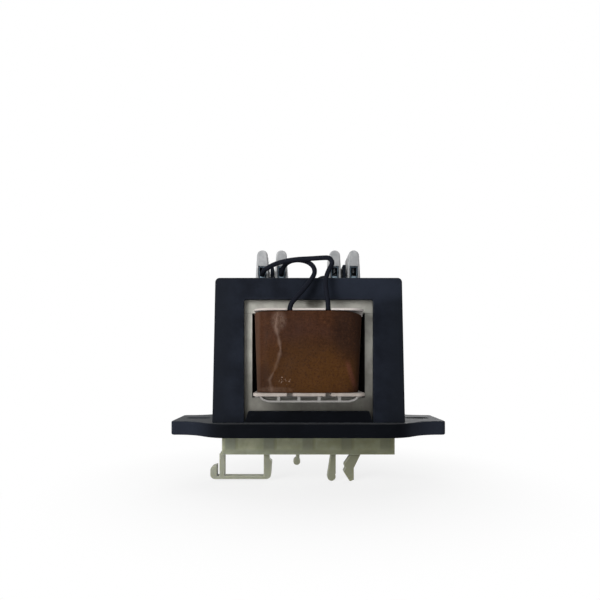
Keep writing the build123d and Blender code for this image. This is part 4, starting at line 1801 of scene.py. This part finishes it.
@dataclass(frozen=True)
class Screw:
    """A screw round Z with its head up: a head, a drive and a threaded shank.

    Attributes:
        drive: how it is driven.
        shank: width over the thread.
        length: length below the head.
        head: width of the head.
        rise: height of the head.
        taper: whether the head is countersunk.
        pitch: pitch of the thread.
        sides: number of sides.
        thread_depth: depth of the thread as a share of the pitch.
        crest: where a crest begins and ends, as shares of the pitch.
        tip: width of the tip as a share of the root, and its length.
        first_thread: distance from the tip to the first thread.
        plain: length without a thread.
        neck: length of the neck under the head.
        land: height of a countersunk head's rim.
        foot: bevel at the foot of a plain head.
        dome: insets and heights of a plain head's rings, the heights as shares of the rise.
        slot_width: width of the drive as a share of the head.
        slot_reach: length of a slot as a multiple of the head.
        cross_reach: length of a cross as a share of the head.
        drive_depth: height of the block that cuts the drive, as a share of the rise.
        crisp: angle from which the shading of two faces stays apart, in degrees.
    """

    drive: Drive
    shank: float
    length: float
    head: float
    rise: float
    taper: bool = False
    pitch: float = 0.45
    sides: int = 28
    thread_depth: float = 0.28
    crest: tuple[float, float] = (0.4, 0.5)
    tip: tuple[float, float] = (0.7, 0.3)
    first_thread: float = 0.35
    plain: float = 0.5
    neck: float = 0.08
    land: float = 0.15
    foot: float = 0.12
    dome: Outline = ((0.0, 0.72), (0.1, 0.88), (0.35, 1.0))
    slot_width: float = 0.26
    slot_reach: float = 2.0
    cross_reach: float = 0.62
    drive_depth: float = 0.9
    crisp: float = 38.0

    def mesh(self) -> bpy.types.Mesh:
        """Builds the screw, with the underside of its head on Z = 0.

        Returns:
            The mesh.
        """
        body = turned(self._rings(), self.sides, "screw")
        width = self.slot_width * self.head
        reach = self.slot_reach if self.drive is Drive.SLOT else self.cross_reach
        reach *= self.head
        depth = self.drive_depth * self.rise
        body = carve(body, (reach, width, depth), (0, 0, self.rise))
        if self.drive is Drive.CROSS:
            body = carve(body, (width, reach, depth), (0, 0, self.rise))
        body.shade_smooth()
        body.set_sharp_from_angle(angle=math.radians(self.crisp))
        return body

    def _rings(self) -> list[tuple[float, float]]:
        """Works out the screw's outline.

        Returns:
            Radius and height of each ring from the tip up, in millimetres.
        """
        outer = self.shank / 2
        root = outer - self.thread_depth * self.pitch
        narrow, taper = self.tip
        rings = [(root * narrow, -self.length), (root, -self.length + taper)]
        begin, end = self.crest
        for index in range(int((self.length - self.plain) / self.pitch)):
            start = -self.length + self.first_thread + index * self.pitch
            rings.append((root, start))
            rings += [(outer, start + begin * self.pitch), (outer, start + end * self.pitch)]
        rings.append((root, -self.neck))
        wide = self.head / 2
        if self.taper:
            return rings + [(outer, 0.0), (wide, self.rise - self.land), (wide, self.rise)]
        rings += [(root, 0.0), (wide - self.foot, 0.0), (wide, self.foot)]
        return rings + [(wide - inset, self.rise * share) for inset, share in self.dome]


@dataclass
class Fasteners:
    """All screws of the object, each set repeated from one screw."""

    seed: int = 3

    def build(self, bench: Bench, palette: Palette) -> None:
        """Adds the clamp screws, the cover screws and the clip screws.

        Args:
            bench: takes the finished pieces.
            palette: the finishes.
        """
        _, high = (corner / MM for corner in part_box("terminal_screws"))
        clamp = Screw(Drive.SLOT, shank=2.0, length=4.4, head=3.2, rise=2.2)
        places = self._grid(TERMINAL_ROWS, high.y - clamp.head / 2, high.z - clamp.rise)
        self._set(bench, palette, "clamp_screws", "terminal_screws", clamp, places, False)
        low, high = (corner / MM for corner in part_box("cover_screws"))
        rise = 2.0
        length = high.z - low.z - rise
        cover = Screw(Drive.CROSS, shank=2.9, length=length, head=5.2, rise=rise, pitch=0.9)
        across = high.x - cover.head / 2
        places = self._grid([across], high.y - cover.head / 2, low.z + cover.rise)
        self._set(bench, palette, "cover_bolts", "cover_screws", cover, places, True)
        low, high = (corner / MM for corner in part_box("clip_screws"))
        rise = 1.9
        length = high.z - low.z - rise
        clip = Screw(Drive.CROSS, 3.5, length, head=6.4, rise=rise, taper=True, pitch=0.9)
        across = high.x - clip.head / 2
        places = [(side * across, 0.0, high.z - clip.rise) for side in (-1, 1)]
        self._set(bench, palette, "clip_bolts", "clip_screws", clip, places, False)

    @staticmethod
    def _grid(across: Sequence[float], along: float, height: float) -> list[Point]:
        """Places mirrored in X and Y.

        Args:
            across: distances from the middle along X.
            along: distance from the middle along Y.
            height: their height.

        Returns:
            The places in millimetres.
        """
        return [(i * x, j * along, height) for x in across for i in (-1, 1) for j in (-1, 1)]

    def _set(
        self,
        bench: Bench,
        palette: Palette,
        name: str,
        node: str,
        screw: Screw,
        places: Sequence[Point],
        upside_down: bool,
    ) -> None:
        """Repeats one screw at its places, each turned by chance.

        Args:
            bench: takes the finished set.
            palette: the finishes.
            name: the piece's name.
            node: the node that it stands for.
            screw: the screw.
            places: where the heads' undersides are, in millimetres.
            upside_down: whether the heads point down.
        """
        spots = bpy.data.meshes.new(name + "_places")
        spots.from_pydata([[value * MM for value in place] for place in places], [], [])
        graph = GeometryGraph(name)
        body = bpy.data.objects.new(name + "_screw", screw.mesh())
        bpy.context.scene.collection.objects.link(body)
        one = graph.size("Screw", "Object", body)
        flip = graph.size("Flip", "Float", math.pi if upside_down else 0.0)
        seed = graph.size("Seed", "Int", self.seed)
        solid = graph.add("GeometryNodeObjectInfo", sockets={"Object": one}, out="Geometry")
        sockets = {2: 0.0, 3: 2 * math.pi, "Seed": seed}
        turn = graph.add("FunctionNodeRandomValue", {"data_type": "FLOAT"}, sockets, out=1)
        points = graph.add("GeometryNodeMeshToPoints", sockets={0: graph.shape()})
        screws = graph.spread(points, solid, turn=graph.vector(X=flip, Z=turn))
        mesh = graph.make(screws, palette.zinc, spots)
        bpy.data.objects.remove(body)
        bench.place(name, mesh, palette.zinc, "zinc_steel", [node])


@dataclass
class Terminals:
    """The four screw terminals: frosted shells, cages, bars and the wire ends in them.

    Attributes:
        count: number of terminals.
        shell_edge: width of a shell's broken edges.
        cage_edge: width of a cage's broken edges.
        bar_edge: width of a bar's broken edges.
        bare: length of a bare wire end.
        strand: distance from strand to strand.
        strand_fill: share of it that a strand takes.
        strand_sides: number of sides of a strand.
        strand_steps: steps along a strand.
        ring: number of strands round the middle one.
        twist: turns of the strands over the length of a wire end.
    """

    count: int = 4
    shell_edge: float = 0.16
    cage_edge: float = 0.12
    bar_edge: float = 0.1
    bare: float = 5.0
    strand: float = 0.4
    strand_fill: float = 0.9
    strand_sides: int = 10
    strand_steps: int = 24
    ring: int = 6
    twist: float = 0.7

    def build(self, bench: Bench, palette: Palette) -> None:
        """Adds the terminals one by one, then the wire ends.

        Args:
            bench: takes the finished pieces.
            palette: the finishes.
        """
        for number in range(1, self.count + 1):
            shell = f"terminal_housing_{number}"
            mesh = SoftEdges(self.shell_edge).copy(shell)
            bench.place(f"terminal_shell_{number}", mesh, palette.clear, "terminal_clear", [shell])
            cages = f"terminal_cages_{number}"
            mesh = SoftEdges(self.cage_edge).copy(cages)
            bench.place(f"clamp_cages_{number}", mesh, palette.cage, "zinc_steel", [cages])
            bar = f"terminal_busbar_{number}"
            mesh = SoftEdges(self.bar_edge).copy(bar)
            bench.place(f"bus_bar_{number}", mesh, palette.brass, "plated_brass", [bar])
        self._wire_ends(bench, palette)

    def _wire_ends(self, bench: Bench, palette: Palette) -> None:
        """Adds the bare wire ends, strands twisted round a straight one.

        Args:
            bench: takes the finished pieces.
            palette: the finishes.
        """
        low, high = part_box("lead_tips")
        height = (low.z + high.z) / 2
        away = high.y - self.bare * MM / 2
        inner, outer = (across * MM for across in TERMINAL_ROWS)
        spots = [(-outer, -away, height), (-inner, -away, height)]
        spots += [(inner, away, height), (outer, away, height)]
        mesh = bpy.data.meshes.new("wire_end_places")
        mesh.from_pydata(spots, [], [])
        graph = GeometryGraph("wire_ends")
        width = graph.size("Strand", "Float", self.strand * MM)
        length = graph.size("Reach", "Float", self.bare * MM)
        twist = graph.size("Twist", "Float", self.twist)
        radius = width * (self.strand_fill / 2)
        sockets = {"Resolution": self.strand_steps, "Rotations": twist, "Height": length}
        sockets |= {"Start Radius": width, "End Radius": width}
        path = graph.add("GeometryNodeCurveSpiral", sockets=sockets)
        helix = graph.rod(path, radius, self.strand_sides, capped=True)
        sockets = {"End": graph.vector(Z=length)}
        path = graph.add("GeometryNodeCurvePrimitiveLine", sockets=sockets)
        straight = graph.rod(path, radius, self.strand_sides, capped=True)
        turn = graph.add("GeometryNodeInputIndex") * (2 * math.pi / self.ring)
        around = graph.spread(graph.row(self.ring, 0.0, 0.0), helix, turn=graph.vector(Z=turn))
        both = graph.add("GeometryNodeJoinGeometry")
        for part in (around, straight):
            graph.tree.links.new(part.socket, both.socket.node.inputs[0])
        sockets = {"Geometry": both, "Translation": graph.vector(Y=length * 0.5)}
        sockets["Rotation"] = (math.pi / 2, 0.0, 0.0)
        bundle = graph.add("GeometryNodeTransform", sockets=sockets)
        points = graph.add("GeometryNodeMeshToPoints", sockets={0: graph.shape()})
        ends = graph.make(graph.spread(points, bundle), palette.tin, mesh)
        bench.place("wire_ends", ends, palette.tin, "tinned_wire", ["lead_tips"])


@dataclass(frozen=True)
class Lead:
    """One insulated lead from the coil to its terminal.

    Attributes:
        node: the node that it stands for.
        length: its length in metres; not used.
        route: the points that steer its curve, in metres.
    """

    node: str
    length: float
    route: Sequence[Point]


@dataclass
class Leads:
    """The four leads, two at the front and two at the rear.

    Attributes:
        thickness: their width in metres.
        steps: steps of the curve from point to point.
        roundness: extra faces round a quarter of a lead.
        leads: the leads.
    """

    thickness: float = 0.0021
    steps: int = 20
    roundness: int = 6
    leads: tuple[Lead, ...] = (
        Lead(
            "lead_primary_inner",
            0.0483,
            (
                (-0.0082, -0.0285, 0.05505),
                (-0.0082, -0.0285, 0.0573),
                (-0.0060, -0.0280, 0.0602),
                (-0.0026, -0.0270, 0.0640),
                (0.0005, -0.0260, 0.0680),
                (0.0027, -0.0244, 0.0716),
                (0.0024, -0.0222, 0.0748),
                (0.0002, -0.0196, 0.0774),
                (-0.0034, -0.0174, 0.0789),
                (-0.0072, -0.0158, 0.0790),
                (-0.0102, -0.0146, 0.0778),
                (-0.0120, -0.0134, 0.0752),
                (-0.01235, -0.0117, 0.0736),
                (-0.01235, -0.0095, 0.0736),
            ),
        ),
        Lead(
            "lead_primary_outer",
            0.0616,
            (
                (0.0082, -0.0285, 0.05505),
                (0.0082, -0.0285, 0.0586),
                (0.0076, -0.0276, 0.0626),
                (0.0072, -0.0266, 0.0668),
                (0.0076, -0.0256, 0.0704),
                (0.0090, -0.0248, 0.0738),
                (0.0105, -0.0242, 0.0762),
                (0.0092, -0.0237, 0.0787),
                (0.0058, -0.0232, 0.0787),
                (0.0006, -0.0224, 0.0785),
                (-0.0048, -0.0212, 0.0785),
                (-0.0102, -0.0194, 0.0781),
                (-0.0154, -0.0172, 0.0770),
                (-0.0194, -0.0148, 0.0753),
                (-0.0212, -0.0124, 0.0736),
                (-0.0212, -0.0095, 0.0736),
            ),
        ),
        Lead(
            "lead_secondary_inner",
            0.0371,
            (
                (0.0082, 0.0285, 0.05505),
                (0.0082, 0.0285, 0.0592),
                (0.0076, 0.0278, 0.0642),
                (0.0062, 0.0258, 0.0694),
                (0.0050, 0.0218, 0.0738),
                (0.0062, 0.0178, 0.0760),
                (0.0092, 0.0152, 0.0762),
                (0.0116, 0.0136, 0.0748),
                (0.01235, 0.0122, 0.0736),
                (0.01235, 0.0095, 0.0736),
            ),
        ),
        Lead(
            "lead_secondary_outer",
            0.0509,
            (
                (-0.0082, 0.0285, 0.05505),
                (-0.0082, 0.0285, 0.0586),
                (-0.0056, 0.0288, 0.0628),
                (-0.0008, 0.0292, 0.0666),
                (0.0050, 0.0294, 0.0694),
                (0.0112, 0.0284, 0.0718),
                (0.0166, 0.0252, 0.0736),
                (0.0198, 0.0206, 0.0746),
                (0.0209, 0.0162, 0.0742),
                (0.0212, 0.0128, 0.0736),
                (0.0212, 0.0095, 0.0736),
            ),
        ),
    )

    def build(self, bench: Bench, palette: Palette) -> None:
        """Adds each lead as a smooth curve and says what it is.

        Args:
            bench: takes the finished pieces.
            palette: the finishes.
        """
        for lead in self.leads:
            curve = bpy.data.curves.new(lead.node + "_sleeve", "CURVE")
            curve.dimensions = "3D"
            curve.resolution_u = self.steps
            curve.bevel_depth = self.thickness / 2
            curve.bevel_resolution = self.roundness
            curve.use_fill_caps = True
            spline = curve.splines.new("NURBS")
            spline.points.add(len(lead.route) - 1)
            for point, place in zip(spline.points, lead.route):
                point.co = (*place, 1.0)
            spline.order_u = 3
            spline.use_endpoint_u = True
            piece = bench.place(curve.name, curve, palette.sleeve, "lead_insulation", [lead.node])


@dataclass
class RailClip:
    """The clip for the rail, one pale moulding."""

    edge: float = 0.25

    def build(self, bench: Bench, palette: Palette) -> None:
        """Adds the clip."""
        mesh = SoftEdges(self.edge).copy("rail_clip")
        bench.place("clip_moulding", mesh, palette.nylon, "natural_nylon", ["rail_clip"])


@dataclass(frozen=True)
class SoftBox:
    """One soft studio lamp that points at the object.

    Attributes:
        name: its name.
        place: where it stands, in metres.
        width: its width in metres.
        power: its power in watts.
    """

    name: str
    place: Point
    width: float
    power: float


@dataclass
class Studio:
    """Camera, lamps, white surround and floor.

    Attributes:
        eye: where the camera stands, in metres.
        focal: its focal length in pixels of the picture.
        vanish: the pixel that it points at.
        nearest: distance from which it sees, in metres.
        target: the point that the lamps are aimed at, in metres.
        daylight: strength of the surround as a light.
        floor_paper: brightness of the floor.
        floor_white: share of plain white that the floor shows under the object.
        floor_fade: distances from the middle between which it fades to white, in millimetres.
        floor_reach: half the width of the floor in metres.
        lamps: the lamps.
    """

    eye: Point = (-0.0050, -0.260, 0.03258)
    focal: float = 540.8
    vanish: tuple[float, float] = (297.3, 363.15)
    nearest: float = 0.01
    target: Point = (0.0, 0.0, 0.03)
    daylight: float = 0.20
    floor_paper: float = 0.86
    floor_white: float = 0.80
    floor_fade: tuple[float, float] = (45.0, 135.0)
    floor_reach: float = 6.0
    lamps: tuple[SoftBox, ...] = (
        SoftBox("key_lamp", place=(-0.23, -0.34, 0.18), width=0.18, power=1.25),
        SoftBox("low_lamp", place=(-0.18, -0.20, 0.045), width=0.12, power=0.10),
        SoftBox("fill_lamp", place=(0.55, -0.45, 0.20), width=0.60, power=0.2),
        SoftBox("top_lamp", place=(-0.05, 0.16, 0.60), width=0.50, power=0.85),
        SoftBox("rear_lamp", place=(0.28, 0.62, 0.22), width=0.50, power=2.2),
    )

    def build(self) -> None:
        """Sets up the whole studio."""
        bpy.context.scene.view_settings.view_transform = "Standard"
        self._camera()
        self._surround()
        self._floor()
        for lamp in self.lamps:
            self._lamp(lamp)
        log.info("studio is set up")

    def _camera(self) -> None:
        """Puts the camera where the photograph was taken from."""
        lens = bpy.data.cameras.new("camera")
        lens.lens = self.focal / IMAGE * lens.sensor_width
        lens.shift_x = 0.5 - self.vanish[0] / IMAGE
        lens.shift_y = self.vanish[1] / IMAGE - 0.5
        lens.clip_start = self.nearest
        camera = bpy.data.objects.new("camera", lens)
        camera.location = self.eye
        camera.rotation_euler = (math.pi / 2, 0.0, 0.0)
        bpy.context.scene.collection.objects.link(camera)
        bpy.context.scene.camera = camera

    @staticmethod
    def _seen(graph: NodeGraph) -> Signal:
        """Finds the rays that show the surround itself, in view or in gloss and glass.

        Args:
            graph: the node tree that asks.

        Returns:
            1 for such rays and 0 for others.
        """
        seen = graph.add("ShaderNodeLightPath", out="Is Camera Ray")
        gloss = seen.output("Is Glossy Ray")
        return seen.peak(gloss).peak(seen.output("Is Transmission Ray"))

    def _surround(self) -> None:
        """Makes the surround white to look at and a plain soft light otherwise."""
        world = bpy.data.worlds.new("surround")
        world.use_nodes = True
        graph = NodeGraph(world.node_tree)
        graph.tree.nodes.clear()
        strength = self.daylight + self._seen(graph) * (1 - self.daylight)
        sockets = {"Color": WHITE, "Strength": strength}
        light = graph.add("ShaderNodeBackground", sockets=sockets)
        graph.end("ShaderNodeOutputWorld", light)
        bpy.context.scene.world = world

    def _floor(self) -> None:
        """Lays the pale floor under the clip."""
        reach = self.floor_reach
        level = cad_box[0].z
        around = ((-reach, -reach), (reach, -reach), (reach, reach), (-reach, reach))
        mesh = bpy.data.meshes.new("floor")
        mesh.from_pydata([(x, y, level) for x, y in around], [], [(0, 1, 2, 3)])
        graph = ShaderGraph("floor")
        paper = graph.add("ShaderNodeBsdfDiffuse", sockets={"Color": (self.floor_paper,) * 3})
        white = graph.add("ShaderNodeEmission", sockets={"Color": WHITE, "Strength": 1.0})
        length = {"operation": "LENGTH"}
        away = graph.add("ShaderNodeVectorMath", length, {0: graph.place}, out="Value")
        fade = graph.smooth(away, *self.floor_fade) * (1 - self.floor_white)
        share = self._seen(graph) * (self.floor_white + fade)
        both = graph.add("ShaderNodeMixShader", sockets={0: share, 1: paper, 2: white})
        graph.end("ShaderNodeOutputMaterial", both)
        mesh.materials.append(graph.material)
        floor = bpy.data.objects.new("floor", mesh)
        bpy.context.scene.collection.objects.link(floor)

    def _lamp(self, lamp: SoftBox) -> None:
        """Adds one lamp.

        Args:
            lamp: the lamp.
        """
        data = bpy.data.lights.new(lamp.name, "AREA")
        data.size = lamp.width
        data.energy = lamp.power
        piece = bpy.data.objects.new(lamp.name, data)
        piece.location = lamp.place
        aim = Vector(self.target) - Vector(lamp.place)
        piece.rotation_euler = aim.to_track_quat("-Z", "Y").to_euler()
        bpy.context.scene.collection.objects.link(piece)


def main() -> None:
    """Builds every sub-assembly in order."""
    logging.basicConfig(level=logging.INFO)
    Studio().build()
    bench = Bench()
    palette = Palette()
    for part in (Leads(), Housing(), Core(), Coil(), Terminals(), Fasteners(), RailClip()):
        part.build(bench, palette)


if __name__ == "__main__":
    main()
